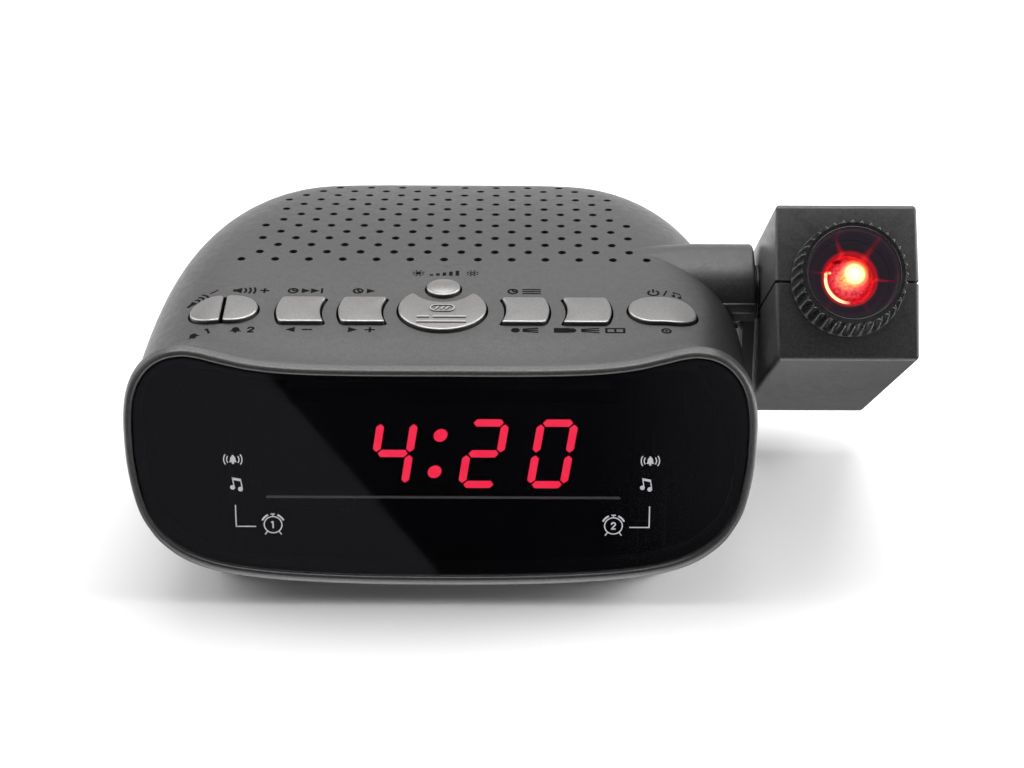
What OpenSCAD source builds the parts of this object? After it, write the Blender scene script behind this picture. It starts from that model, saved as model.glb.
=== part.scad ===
// Projection alarm clock: a domed clock radio with a sloping key deck, a dark
// display window in a rounded ring, and a tilting projector head on its right.
// Units are millimetres, +Z is up, the front of the clock faces -Y and the
// feet stand on Z = 0. The origin is the centre of the whole part's footprint.

/* [Body] */
// Width of the body at its widest level
body_w = 159; // [157:1:161]
// Height of the top at the front row of speaker holes
body_h = 70; // [69:0.5:72]
// Rear end of the body, measured from the front row of speaker holes
body_rear = 83; // [81:0.5:85]
// Wall thickness of the two body shells
wall = 2.2; // [2:0.1:2.4]
// Height of the line where the top and the bottom shell meet
part_z = 30; // [29:0.5:31]

/* [Speaker grille] */
// Distance between neighbouring holes in a row
hole_pitch = 9; // [8.6:0.1:9.2]
// Diameter of each speaker hole
hole_d = 2.2; // [1.6:0.1:2.6]

/* [Key deck] */
// Height of the key caps above the deck
key_rise = 1; // [0.8:0.1:1.2]
// Gap around each key cap
key_gap = 0.5; // [0.4:0.05:0.6]

/* [Display] */
// Height of one digit
digit_h = 18.7; // [17:0.1:19.5]
// Slant of the digits in degrees
digit_slant = 9; // [6:1:12]

/* [Projector] */
// Tilt of the projector head above the horizontal in the rest position
head_tilt = 33; // [28:1:38]
// Width of the projector head
head_w = 36.2; // [35.5:0.1:36.6]
// Height of the projector head
head_h = 39.6; // [38.5:0.1:40]
// Diameter of the focus ring at its base
focus_d = 28.8; // [28:0.1:29.2]
// Number of flutes around the focus ring
focus_ribs = 36; // [32:2:40]

/* [Hidden] */

eps = 0.01;
// centre of the footprint in construction coordinates
foot_cx = 20.2;
foot_cy = 10.578;
module place() translate([-foot_cx, -foot_cy, 0]) children();

// ---------- body surface ----------
W = body_w / 2;          // half width of the plan outline
Y0 = -40;                // where the plan outline starts to curve in
on = 4.7; om = 1.9;      // exponents of the rear of the outline
sa = 24; sb = 21;        // shoulder: depth inward and height
zb = 3;                  // underside of the body, above the table
deck_slope = 5.6;        // slope of the key deck
lean = 4;                // the front face leans back
face_o = [0, -57.5, body_h - 7.6];   // top centre of the display window
ring_b = 2.4;            // width of the ring around the window
crease_w = -2.55;        // ring's rear edge, behind the window's face
grille_x = -0.45;        // centre line of the speaker holes

// height of the top surface at y
function top_z(y) = y >= 0 ? body_h + 4.65*(y/60) - 6.1*pow(y/60, 2) - 0.24*pow(y/60, 3)
  : y >= -12 ? body_h + 0.0775*y - (tan(deck_slope) - 0.0775)*y*y/24
  : top_z(-12) + tan(deck_slope)*(y + 12);

// half outline of the window, from bottom centre to top centre, in the face
lens_half = [[0,-54.5],[20,-54.3],[36,-53.6],[47,-52.6],[56,-51],[63,-48.5],
  [68,-45.2],[71.8,-41],[74.5,-35],[76.3,-25],[76.7,-15],[76.2,-8],
  [74.7,-2.8],[72,1.2],[68.4,3.7],[64,4.7],[60,4.3],[55,3],[47,1.2],
  [36,0.1],[20,-0.3],[0,-0.3]];
JN = len(lens_half);     // points of a half section
function unit(v) = v / norm(v);
function half_n(j) = j == 0 ? [0,-1] : j == JN-1 ? [0,1]
  : let(d = unit(lens_half[j+1] - lens_half[j-1])) [d[1], -d[0]];
function half_pt(j, off) = lens_half[j] + off*half_n(j);
// a point of the face plane in space: u across, v up the face, w outward
function face_pt(p, w) = face_o + [p[0], p[1]*sin(lean) - w*cos(lean), p[1]*cos(lean) + w*sin(lean)];

// sections of the body: how far each of the points of a half section lies
// inside the plan outline, and how high
low_in = [33,33,33,33,24,17,11.5,7.3,3.6,1];
low_z = [0,0,0,0,1,3.4,7.5,13,20.5,31];
sh_a = [0,15,30,43,55,66,77,90];
flat_f = [0.85,0.65,0.36,0];
bot_f = [0,0.4,0.75];
function low_k(th) = 1 - 0.5*pow(sin(th), 2);
function pt_in(j, t) = j < 10 ? low_in[j]*(1 - t/36) : j < 18 ? (sa - t)*(1 - cos(sh_a[j-10])) : sa - t;
function pt_fx(j) = j < 3 ? bot_f[j] : j < 18 ? 1 : flat_f[j-18];
function pt_z(j, y, t) = j < 10 ? zb + t + low_z[j]*(top_z(y) - sb - zb - t)/41
  : j < 18 ? top_z(y) - t - (sb - t)*(1 - sin(sh_a[j-10])) : top_z(y) - t;
function out_p(th, t) = [(W - t)*pow(cos(th), 2/on), Y0 + (body_rear - t - Y0)*pow(sin(th), 2/om)];
function out_n(th, t) = let(p = out_p(th, t)) unit([on/(W-t)*pow(p[0]/(W-t), on-1),
  om/(body_rear-t-Y0)*pow(max(0, (p[1]-Y0)/(body_rear-t-Y0)), om-1)]);
function rear_pt(th, j, t) = let(p = out_p(th, t) - pt_in(j, t)*(j < 10 ? low_k(th) : 1)*out_n(th, t))
  [p[0]*pt_fx(j), p[1], pt_z(j, p[1], t)];
function front_pt(g, j, t, off) = let(r = face_pt(half_pt(j, ring_b - t + off), crease_w),
  y = r[1] + (Y0 - r[1])*g, f = pow(1 - g, 2.2),
  b = [(W - t - pt_in(j, t))*pt_fx(j), y, pt_z(j, y, t)])
  [b[0] + (r[0] - b[0])*f, y, b[2] + (r[2] - b[2])*f];
front_g = [0, 0.2, 0.4, 0.6, 0.8];
rear_th = [0, 9, 18, 27, 36, 44, 52, 60, 67, 73, 79, 84, 88];
function half_section(k, t, ext) = [for (j = [0:JN-1])
  k < ext ? face_pt(half_pt(j, ring_b - t), 8)
  : k < ext + len(front_g) ? front_pt(front_g[k-ext], j, t, 0)
  : rear_pt(rear_th[k - ext - len(front_g)], j, t)];
function loop_of(h) = concat(h, [for (j = [JN-2:-1:1]) [-h[j][0], h[j][1], h[j][2]]]);

// closed body form, inset by t; ext adds a section in front of the face
module body_form(t, ext) {
  n = len(front_g) + len(rear_th) + ext;
  m = 2*JN - 2;
  secs = [for (k = [0:n-1]) loop_of(half_section(k, t, ext))];
  pts = [for (s = secs) each s];
  sides = [for (k = [0:n-2]) for (i = [0:m-1])
    [k*m + i, (k+1)*m + i, (k+1)*m + (i+1)%m, k*m + (i+1)%m]];
  front = [[for (i = [0:m-1]) i]];
  e = (n-1)*m;
  function lft(j) = j == 0 ? 0 : j == JN-1 ? JN-1 : m - j;
  q = JN - 6;
  rear = concat([for (j = [4:q-1]) [e + j, e + lft(j), e + lft(j+1), e + j + 1]],
    [concat([e + 4, e + 3, e + 2, e + 1, e], [for (j = [1:4]) e + lft(j)])],
    [concat([e + q, e + lft(q)], [for (j = [q+1:JN-1]) e + lft(j)], [for (j = [JN-2:-1:q+1]) e + j])]);
  polyhedron(points = pts, faces = [for (f = concat(sides, front, rear))
    [for (i = [0:len(f)-1]) f[(len(f) - i)%len(f)]]], convexity = 6);
}

// ---------- helpers ----------
module on_face() translate(face_o) rotate([90 - lean, 0, 0]) children();
key_y = -29.05;          // centre line of the key row
module on_deck() translate([0, key_y, top_z(key_y)]) rotate([deck_slope, 0, 0]) children();
boss_y = 6.3;            // projector axis
boss_z = body_h - 11.75;
boss_r = 13;
boss_x = 82.5;           // outer end of the boss
neck_r = 7.3;
module on_axis() translate([0, boss_y, boss_z]) children();
module xcyl(x0, x1, r, fn = 96) translate([x0, 0, 0]) rotate([0, 90, 0]) cylinder(h = x1 - x0, r = r, $fn = fn);
head_x0 = 83.7;          // left side of the head
head_mid = -6;           // middle plane of the head, below the axis
head_f = 48.6;           // front of the head, ahead of the axis
head_r = 51;             // rear of the head, behind the axis
head_cx = head_x0 + head_w/2;
// head coordinates: -Y is along the lens, the origin is on the tilt axis
module in_head() on_axis() rotate([-head_tilt, 0, 0]) children();
// lens coordinates: +Z leaves the head through the lens, 0 is the front face
module on_lens() in_head() translate([head_cx, -head_f, head_mid]) rotate([90, 0, 0]) children();

// outline of the window with finer steps between the set points
function spl(a, b, c, d, s) = 0.5*((2*b) + (c - a)*s + (2*a - 5*b + 4*c - d)*s*s + (3*b - a - 3*c + d)*s*s*s);
function half_at(i) = i < 0 ? [-lens_half[-i][0], lens_half[-i][1]]
  : i > JN-1 ? [-lens_half[2*(JN-1)-i][0], lens_half[2*(JN-1)-i][1]] : lens_half[i];
fine_half = [for (j = [0:JN-2]) for (s = [0, 0.5])
  spl(half_at(j-1), half_at(j), half_at(j+1), half_at(j+2), s), lens_half[JN-1]];
FN = len(fine_half);
function fine_n(i) = i == 0 ? [0,-1] : i == FN-1 ? [0,1]
  : let(d = unit(fine_half[i+1] - fine_half[i-1])) [d[1], -d[0]];
function fine_loop(off) = let(h = [for (i = [0:FN-1]) fine_half[i] + off*fine_n(i)])
  concat(h, [for (i = [FN-2:-1:1]) [-h[i][0], h[i][1]]]);
module window_shape(off) polygon(fine_loop(off));

// a closed band swept round the window outline; prof is a list of [off, w]
module band(prof) {
  m = 2*FN - 2; n = len(prof);
  pts = [for (q = prof) for (p = fine_loop(q[0])) [p[0], p[1], q[1]]];
  polyhedron(points = pts, faces = [for (k = [0:n-1]) for (i = [0:m-1])
    [k*m + i, ((k+1)%n)*m + i, ((k+1)%n)*m + (i+1)%m, k*m + (i+1)%m]], convexity = 6);
}

// box with rounded upright edges and softened top edge, drafted to the top
module drafted_box(w, l, h, r, draft, soft) {
  q = 6;
  function rr(d) = [for (c = [0:3]) for (i = [0:q])
    let(a = c*90 + i*90/q, cx = (c == 0 || c == 3 ? 1 : -1)*(w/2 - r), cy = (c < 2 ? 1 : -1)*(l/2 - r))
    [cx + (r - d)*cos(a), cy + (r - d)*sin(a)]];
  dd = h*tan(draft);
  lv = [[0, 0], [dd*(h - soft)/h, h - soft], [dd + soft*0.13, h - soft*0.5], [dd + soft*0.45, h - soft*0.13], [dd + soft, h]];
  m = 4*(q+1); n = len(lv);
  pts = [for (L = lv) for (p = rr(L[0])) [p[0], p[1], L[1]]];
  polyhedron(points = pts, faces = concat(
    [for (k = [0:n-2]) for (i = [0:m-1]) [k*m + i, (k+1)*m + i, (k+1)*m + (i+1)%m, k*m + (i+1)%m]],
    [[for (i = [0:m-1]) i]], [[for (i = [m-1:-1:0]) (n-1)*m + i]]), convexity = 4);
}

// ---------- key shapes, on the deck ----------
key_hy = 6.55;           // half depth of the keys
// key with one side bulging out and one side hollow, bulge towards -x
module bow_key(x0, x1, g) {
  s = 1.3; hy = key_hy + g; R = (key_hy*key_hy + s*s)/(2*s);
  polygon(concat(
    [for (a = [0:8]) let(y = hy - a*hy/4) [x0 + R - sqrt((R+g)*(R+g) - y*y), y]],
    [for (a = [0:8]) let(y = -hy + a*hy/4) [x1 - s + R - sqrt((R-g)*(R-g) - y*y), y]]));
}
module mirror_key(x0, x1, g) mirror([1,0,0]) bow_key(-x1, -x0, g);
pill_y = 0.5;            // the two long keys sit a little further back
module pill(x0, x1, g) translate([0, pill_y]) {
  r = key_hy + g;
  translate([x0 + key_hy, 0]) circle(r = r, $fn = 48);
  translate([x1 - key_hy, 0]) circle(r = r, $fn = 48);
  translate([x0 + key_hy, -r]) square([x1 - x0 - 2*key_hy, 2*r]);
}
snooze_x = -0.13; snooze_y = 0.7; snooze_r = 11.3;
dim_y = 12; dim_r = 4.4; bite_r = 8.1;
module snooze_shape(g) difference() {
  translate([snooze_x, snooze_y]) circle(r = snooze_r + g, $fn = 96);
  translate([snooze_x, dim_y]) circle(r = bite_r - g, $fn = 96);
}
// body of one key: cap, two retaining tabs and a stem down to its switch
key_top = key_rise; key_bot = -3.1; stem_bot = -4.8;
module key_tabs(cx, cy, y0, y1, tw = 5, low = 0) {
  translate([cx - tw/2, y0 - 1.1, -3.4 - low]) cube([tw, 2.3, 1]);
  translate([cx - tw/2, y1 - 1.2, -3.4 - low]) cube([tw, 2.3, 1]);
  translate([cx, cy, stem_bot]) cylinder(h = 2.2, r = 1.6, $fn = 32);
}
module flat_key(cx, cy, y0, y1, tw = 5) {
  translate([0, 0, key_bot]) linear_extrude(key_top - key_bot) children();
  key_tabs(cx, cy, y0, y1, tw);
}
// end keys follow the falling shoulder of the body
module shoulder_key(cx, tw = 5) {
  intersection() {
    on_deck() translate([0, 0, key_bot - 1]) linear_extrude(7) children();
    translate([0, 0, key_rise]) body_form(0, 0);
  }
  on_deck() key_tabs(cx, 0, pill_y - key_hy, pill_y + key_hy, tw, 1);
}
alarm_x0 = -64.9; alarm_x1 = -47.4; alarm_cut = -56.3; cut_w = 0.4;
hour_x = [-42.7, -30.1]; minute_x = [-26.8, -14.4];
time_x = [14.9, 27.3]; proj_x = [30.6, 43.2];
func_x0 = 47.5; func_x1 = 65.1;
key_cx = [-60.4, -51.9, -36.4, -20.6, snooze_x, 21.1, 36.9, 56.3];

// ---------- nodes ----------
module grille_holes() {
  counts = [13,12,11,12,11,12,11,10,11,10,11,10,9,8];
  for (i = [0:13]) for (k = [0:counts[i]-1])
    translate([grille_x + (k - (counts[i]-1)/2)*hole_pitch, i*hole_pitch/2, body_h - 14])
      cylinder(h = 20, r = hole_d/2, $fn = 24);
}
post_xy = [[54, -46], [-54, -46], [22, 62], [-22, 62]];
post_z0 = [6.2, 6.2, 3.8, 3.8];
// half-round boss of the projector, with a raised strip along its lower edge
module boss_outer() on_axis() {
  intersection() {
    xcyl(66, boss_x, boss_r);
    translate([60, -boss_r, 0]) cube([30, 2*boss_r, boss_r]);
  }
  intersection() {
    translate([48, 0, 0]) rotate([0, 90, 0]) cylinder(h = 18, r1 = boss_r - 0.9, r2 = boss_r, $fn = 96);
    translate([48, -boss_r, 0]) cube([18, 2*boss_r, boss_r]);
  }
  translate([66, 0.4 - boss_r, -3.15]) cube([boss_x - 66, 2*boss_r - 0.8, 3.2]);
  for (s = [-1, 1]) rotate([90, 0, 90]) translate([0, 0, 66]) linear_extrude(boss_x - 66)
    polygon([for (q = [[9.5, -0.9], [13.0, -0.9], [13.35, -0.55], [13.35, 1.75], [13.0, 2.2], [9.5, 2.2]]) [s*q[0], q[1]]]);
}

module top_shell() place() color([0.36, 0.36, 0.36]) {
  difference() {
    union() {
      intersection() {
        difference() {
          union() { body_form(0, 0); boss_outer(); }
          body_form(wall, 1);
        }
        translate([-100, -80, part_z]) cube([200, 180, 60]);
      }
      // bearing wall and tube of the boss inside the body
      on_axis() intersection() {
        xcyl(58, boss_x, boss_r);
        translate([58, -boss_r, -3]) cube([20.5, 2*boss_r, boss_r + 3]);
      }
      on_axis() intersection() {
        xcyl(70, boss_x, boss_r);
        translate([70, -boss_r, 0]) cube([20, 2*boss_r, boss_r]);
      }
      // screw posts under the top, and posts for the speaker and the key board
      for (x = [-31.5, 31.5]) for (y = [18, 45]) translate([grille_x + x, y, spk_z + 1.2]) cylinder(h = top_z(y) - spk_z - 2.6, r = 2.5, $fn = 32);
      on_deck() for (x = [-43.2, 45.2]) translate([x, 10, -10.5]) cylinder(h = 9.5, r = 2.2, $fn = 32);
      for (p = post_xy) translate([p[0], p[1], part_z + 0.2]) cylinder(h = top_z(p[1]) - part_z - 1.8, r = 3.4, $fn = 32);
    }
    // chamber for the flange of the pivot tube, and its bearing
    on_axis() xcyl(50, 78.8, 10.6);
    on_axis() translate([50, -10.6, -13]) cube([28.8, 21.2, 13]);
    on_axis() xcyl(70, 90, neck_r + 0.05);
    // slot that lets the neck in from below
    on_axis() translate([78.5, -neck_r - 0.05, -30]) cube([10, 2*neck_r + 0.1, 30]);
    for (p = post_xy) translate([p[0], p[1], part_z - 1]) cylinder(h = 14, r = 1.25, $fn = 32);
    for (x = [-31.5, 31.5]) for (y = [18, 45]) translate([grille_x + x, y, spk_z]) cylinder(h = 5, r = 1, $fn = 24);
    on_deck() for (x = [-43.2, 45.2]) translate([x, 10, -12]) cylinder(h = 6, r = 1, $fn = 24);
    grille_holes();
    on_deck() translate([0, 0, -6]) linear_extrude(14) {
      pill(alarm_x0, alarm_x1, key_gap);
      bow_key(hour_x[0], hour_x[1], key_gap);
      bow_key(minute_x[0], minute_x[1], key_gap);
      snooze_shape(key_gap);
      translate([snooze_x, dim_y]) circle(r = dim_r + key_gap, $fn = 64);
      mirror_key(time_x[0], time_x[1], key_gap);
      mirror_key(proj_x[0], proj_x[1], key_gap);
      pill(func_x0, func_x1, key_gap);
    }
  }
}

bat_x = 14; bat_y = 18; bat_w = 52; bat_l = 25; // bay for two small cells
stand_xy = [[-40, -32], [34, -32], [-40, 38], [40, 42]];
// side view of the pedestal under the boss, in x and z from the axis
module pedestal(x0, x1, ztop, hy) rotate([90, 0, 0]) translate([0, 0, -hy]) linear_extrude(2*hy)
  polygon([[x0, ztop], [x0, 14 - boss_z], [x1 - 12, 14 - boss_z], [x1, 26 - boss_z], [x1, ztop]]);
// flat plinth under the front of the body, half of its outline in plan
plinth_half = [[0,-57.5],[14,-57.2],[28,-56],[40,-53.9],[48,-52],[54,-50.3],[58,-48.6],[62,-44.5],[64,-40],[63,-32],[58,-22],[48,-13]];
module plinth() translate([0, 0, zb]) linear_extrude(3.6)
  polygon(concat([for (p = plinth_half) p], [for (i = [len(plinth_half)-1:-1:1]) [-plinth_half[i][0], plinth_half[i][1]]]));
module bottom_shell() place() color([0.3, 0.3, 0.3]) difference() {
  union() {
    intersection() {
      difference() {
        union() {
          body_form(0, 0);
          plinth();
        }
        body_form(wall, 1);
      }
      translate([-100, -80, -5]) cube([200, 180, part_z + 5 - 0.15]);
    }
    // bearing plate that carries the neck from below, on its pedestal
    on_axis() difference() {
      pedestal(66, boss_x, -3.3, 12.2);
      // room for the top shell's wall, and for the flange behind the plate
      translate([60, -20, part_z - boss_z - 0.15]) cube([79.35 - 60, 40, 60]);
    }
    for (i = [0:3]) translate([post_xy[i][0], post_xy[i][1], post_z0[i]]) cylinder(h = part_z - post_z0[i], r = 3.6, $fn = 32);
    // walls of the battery bay
    translate([bat_x - bat_w/2 - 1.6, bat_y - bat_l/2 - 1.6, zb + 1]) difference() {
      cube([bat_w + 3.2, bat_l + 3.2, 13.6]);
      translate([1.6, 1.6, -1]) cube([bat_w, bat_l, 13]);
    }
    // stands for the main board
    for (p = stand_xy) translate([p[0], p[1], zb + 1]) cylinder(h = 17, r = 2.6, $fn = 32);
  }
  on_axis() xcyl(70, 90, neck_r + 0.05);
  for (p = stand_xy) translate([p[0], p[1], zb + 12]) cylinder(h = 8, r = 1, $fn = 24);
  // screws from below
  for (p = post_xy) {
    translate([p[0], p[1], -1]) cylinder(h = 40, r = 1.6, $fn = 32);
    translate([p[0], p[1], -1]) cylinder(h = 10, r = 2.9, $fn = 32);
  }
  // opening of the battery bay, with a shallow seat that lets its door slide
  translate([bat_x - bat_w/2, bat_y - bat_l/2, -1]) cube([bat_w, bat_l, 8]);
  translate([bat_x - bat_w/2 - 1, bat_y - bat_l/2 - 1, -1]) cube([bat_w + 2, bat_l + 11, 1 + zb + 1.2]);
  // cord outlet at the rear, and cooling slots under the transformer
  translate([gland_x, 60, gland_z]) rotate([-90, 0, 0]) cylinder(h = 40, r = 3.5, $fn = 48);
  translate([gland_x, gland_y + 1, gland_z]) rotate([-90, 0, 0]) cylinder(h = 20, r = 4.85, $fn = 48);
  translate([gland_x, gland_y - 11, gland_z]) rotate([-90, 0, 0]) cylinder(h = 7, r = 4.85, $fn = 48);
  // seats of the feet
  for (p = foot_xy) translate([p[0], p[1], -1]) cylinder(h = 1 + zb + 0.2, r = 5, $fn = 64);
  for (x = [-45.5:6:-27]) translate([x, -14, 0]) cube([2, 26, 10]);
}

module front_bezel() place() color([0.33, 0.33, 0.33]) on_face() {
  band([[ring_b, crease_w + 0.05], [ring_b - 0.12, -1.6], [ring_b - 0.5, -0.7], [ring_b - 1.1, 0.05],
    [ring_b - 1.75, 0.42], [0.35, 0.4], [0.12, 0.05], [0.12, -2.05], [-2.3, -2.05], [-2.3, -4.5],
    [-1.5, -4.5], [-1.5, crease_w + 0.05]]);
}
module display_window() place() color([0.02, 0.02, 0.03]) on_face()
  translate([0, 0, -2]) linear_extrude(2) window_shape(0);

// display block: a black reflector with seven segments in each place
digit_w = digit_h*0.552; seg = digit_h*0.105;
digit_v = -22.4; digit_x = [-29.1, -12.1, 10.7, 28];
colon_x = -0.85;
module slant() multmatrix([[1, tan(digit_slant), 0, 0], [0, 1, 0, 0], [0, 0, 1, 0], [0, 0, 0, 1]]) children();
module bar(l) polygon([[-l/2 + seg*0.2, 0], [-l/2 + seg*0.62, seg/2], [l/2 - seg*0.62, seg/2], [l/2 - seg*0.2, 0], [l/2 - seg*0.62, -seg/2], [-l/2 + seg*0.62, -seg/2]]);
// which: top, upper right, lower right, bottom, lower left, upper left, middle
module digit_shape(which) {
  a = digit_w/2 - seg/2; b = digit_h/2 - seg/2;
  if (which[0]) translate([0, b]) bar(2*a);
  if (which[1]) translate([a, b/2]) rotate(90) bar(b);
  if (which[2]) translate([a, -b/2]) rotate(90) bar(b);
  if (which[3]) translate([0, -b]) bar(2*a);
  if (which[4]) translate([-a, -b/2]) rotate(90) bar(b);
  if (which[5]) translate([-a, b/2]) rotate(90) bar(b);
  if (which[6]) bar(2*a);
}
seven = [[0,0,0,0,0,0,0], [0,1,1,0,0,1,1], [1,1,0,1,1,0,1], [1,1,1,1,1,1,0]];
module lit_shapes() {
  for (k = [1:3]) translate([digit_x[k], digit_v]) slant() digit_shape(seven[k]);
  translate([colon_x, digit_v]) slant() for (s = [-1, 1]) translate([0, s*4.95]) circle(r = 1.72, $fn = 32);
}
module display_housing() place() color([0.05, 0.05, 0.05]) on_face() {
  difference() {
    translate([-45, -34.1, -12]) cube([90, 25.4, 8]);
    translate([0, 0, -5.2]) linear_extrude(3) lit_shapes();
  }
  // carrier that clips behind the window
  translate([-48.5, -34.1, -13.6]) cube([97, 25.4, 1.6]);
}
module digit_segments() place() color([0.95, 0.12, 0.2]) on_face()
  translate([0, 0, -5.2]) linear_extrude(1.22) lit_shapes();

board_z = zb + 18;
module main_board() place() color([0.1, 0.35, 0.15]) {
  difference() {
    translate([-46, -37, board_z]) cube([92, 84, 1.6]);
    for (p = stand_xy) translate([p[0], p[1], board_z - 1]) cylinder(h = 4, r = 1.4, $fn = 24);
  }
  // larger components
  for (c = [[-36, -18, 5, 12], [-24, -22, 4, 9], [-13, -24, 4, 9], [28, 34, 5, 10], [14, 38, 4, 10]])
    translate([c[0], c[1], board_z + 1.6]) cylinder(h = c[3], r = c[2], $fn = 32);
  translate([-10, -12, board_z + 1.6]) cube([26, 13, 2.6]);
  translate([20, -28, board_z + 1.6]) cube([12, 12, 8]);
  translate([-30, 30, board_z + 1.6]) cube([10, 12, 10]);
}
module key_board() place() color([0.1, 0.35, 0.15]) on_deck() {
  difference() {
    translate([-65, -8.5, -12.1]) cube([130, 24, 1.6]);
    for (x = [-43.2, 45.2]) translate([x, 10, -13]) cylinder(h = 4, r = 1.4, $fn = 24);
  }
  for (x = key_cx) translate([x, x == snooze_x ? snooze_y - 2 : 0, -10.5]) tact_switch();
  translate([snooze_x, dim_y, -10.5]) tact_switch();
}
module tact_switch() {
  translate([-3, -3, 0]) cube([6, 6, 3.4]);
  translate([0, 0, 3.4]) cylinder(h = 1.5, r = 1.7, $fn = 32);
}

module button_snooze() place() color([0.62, 0.59, 0.57]) on_deck()
  flat_key(snooze_x, snooze_y - 2, snooze_y - snooze_r, dim_y - bite_r, 6) snooze_shape(0);
module button_dimmer() place() color([0.62, 0.59, 0.57]) on_deck()
  flat_key(snooze_x, dim_y, dim_y - dim_r, dim_y + dim_r, 3) translate([snooze_x, dim_y]) circle(r = dim_r, $fn = 64);
module button_alarm_1() place() color([0.62, 0.59, 0.57])
  shoulder_key(key_cx[0], 4) difference() {
    pill(alarm_x0, alarm_x1, 0);
    translate([alarm_cut - cut_w, -10]) square([20, 20]);
  }
module button_alarm_2() place() color([0.62, 0.59, 0.57])
  shoulder_key(key_cx[1]) difference() {
    pill(alarm_x0, alarm_x1, 0);
    translate([alarm_cut + cut_w - 20, -10]) square([20, 20]);
  }
module button_hour() place() color([0.62, 0.59, 0.57]) on_deck()
  flat_key(key_cx[2], 0, -key_hy, key_hy) bow_key(hour_x[0], hour_x[1], 0);
module button_minute() place() color([0.62, 0.59, 0.57]) on_deck()
  flat_key(key_cx[3], 0, -key_hy, key_hy) bow_key(minute_x[0], minute_x[1], 0);
module button_time() place() color([0.62, 0.59, 0.57]) on_deck()
  flat_key(key_cx[5], 0, -key_hy, key_hy) mirror_key(time_x[0], time_x[1], 0);
module button_projection() place() color([0.62, 0.59, 0.57]) on_deck()
  flat_key(key_cx[6], 0, -key_hy, key_hy) mirror_key(proj_x[0], proj_x[1], 0);
module button_function() place() color([0.62, 0.59, 0.57])
  shoulder_key(key_cx[7], 7) pill(func_x0, func_x1, 0);

spk_y = 31.5; spk_z = 61; spk_a = atan(13.5/31.5);
module speaker() place() color([0.2, 0.2, 0.22]) translate([grille_x, spk_y, spk_z]) {
  rotate_extrude($fn = 96) polygon([[26.5, 0], [32, 0], [32, 1.2], [29.5, 1.2], [29.5, 2.6], [26.8, 2.6], [26.8, 1.6], [18, -10], [9, -12], [9, -13.5], [19, -13.5], [19, -11.4]]);
  translate([0, 0, -25]) cylinder(h = 11.5, r = 19, $fn = 64);
  for (a = [spk_a, 180 - spk_a, 180 + spk_a, 360 - spk_a]) rotate(a) difference() {
    translate([30, -3, 0]) cube([7.3, 6, 1.2]);
    translate([norm([31.5, 13.5]), 0, -1]) cylinder(h = 4, r = 1.3, $fn = 24);
  }
}
module speaker_cone() place() color([0.1, 0.1, 0.1]) translate([grille_x, spk_y, spk_z])
  rotate_extrude($fn = 96) polygon([[0, -6.2], [6, -7.8], [8.5, -10.2], [9.3, -10.2], [24, 0.6], [26.2, 1.8], [26.2, 2.4], [23.4, 1.2], [9, -9.2], [7, -7.2], [0, -5.4]]);
module transformer() place() color([0.35, 0.3, 0.25]) translate([-36, -1, zb + wall]) {
  translate([-11, -20, 0]) cube([22, 40, 0.8]);
  translate([-9, -16, 0.8]) cube([18, 32, 5]);
  translate([-7, -11, 0.8]) cube([14, 22, 13.4]);
}
// moulded grommet in the cord outlet at the rear; the cord itself isn't part of this
gland_x = -30; gland_z = 16; gland_y = 79.4;
module cord_gland() place() color([0.08, 0.08, 0.08]) translate([gland_x, gland_y, gland_z]) rotate([-90, 0, 0]) difference() {
  union() {
    translate([0, 0, -5.5]) cylinder(h = 8.5, r = 3.45, $fn = 48);
    translate([0, 0, -5.5]) cylinder(h = 1.5, r = 4.8, $fn = 48);
    translate([0, 0, 1]) cylinder(h = 2, r = 4.8, $fn = 48);
  }
  translate([0, 0, -20]) cylinder(h = 40, r = 1.9, $fn = 48);
}
module battery_door() place() color([0.29, 0.29, 0.29]) difference() {
  union() {
    translate([bat_x - bat_w/2 - 0.8, bat_y - bat_l/2 - 0.8, zb]) cube([bat_w + 1.6, bat_l + 1.6, 1.1]);
    for (s = [-1, 1]) translate([bat_x + s*16 - 3, bat_y - bat_l/2 + 0.2, zb + 1]) cube([6, 1.4, 3]);
  }
  for (k = [0:3]) translate([bat_x - 6, bat_y - bat_l/2 + 2 + 1.6*k, zb - 1]) cube([12, 0.8, 1.4]);
}
module battery_contacts() place() color([0.75, 0.75, 0.72])
  for (s = [-1, 1]) for (y = [-5.7, 5.7]) translate([bat_x + s*(bat_w/2 - 0.3), bat_y + y, zb + 7]) {
    translate([-0.25, -4.5, -4]) cube([0.5, 9, 8]);
    if (s*y > 0) for (k = [0:2]) translate([-s*(0.4 + 0.9*k), 0, 0]) rotate([0, 90, 0])
      rotate_extrude($fn = 32) translate([3 - 0.6*k, 0]) circle(r = 0.42, $fn = 16);
  }

foot_xy = [[38, -45], [-38, -45], [37, 55], [-37, 55]];
module rubber_feet() place() color([0.06, 0.06, 0.06])
  for (p = foot_xy) translate([p[0], p[1], 0]) cylinder(h = zb + 0.2, r = 5, $fn = 64);
module screw(l) {
  difference() {
    cylinder(h = 1.8, r = 2.6, $fn = 32);
    for (a = [0, 90]) rotate(a) translate([-1.6, -0.35, -0.5]) cube([3.2, 0.7, 1.5]);
  }
  translate([0, 0, 1.7]) cylinder(h = l, r = 1.2, $fn = 24);
}
module case_screws() place() color([0.7, 0.7, 0.7])
  for (p = post_xy) translate([p[0], p[1], 7.2]) screw(32);
module small_screw(l) {
  translate([0, 0, -1.3]) difference() {
    cylinder(h = 1.3, r = 2.1, $fn = 32);
    for (a = [0, 90]) rotate(a) translate([-1.3, -0.3, -0.5]) cube([2.6, 0.6, 1.2]);
  }
  translate([0, 0, -0.1]) cylinder(h = l, r = 0.95, $fn = 24);
}
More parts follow.
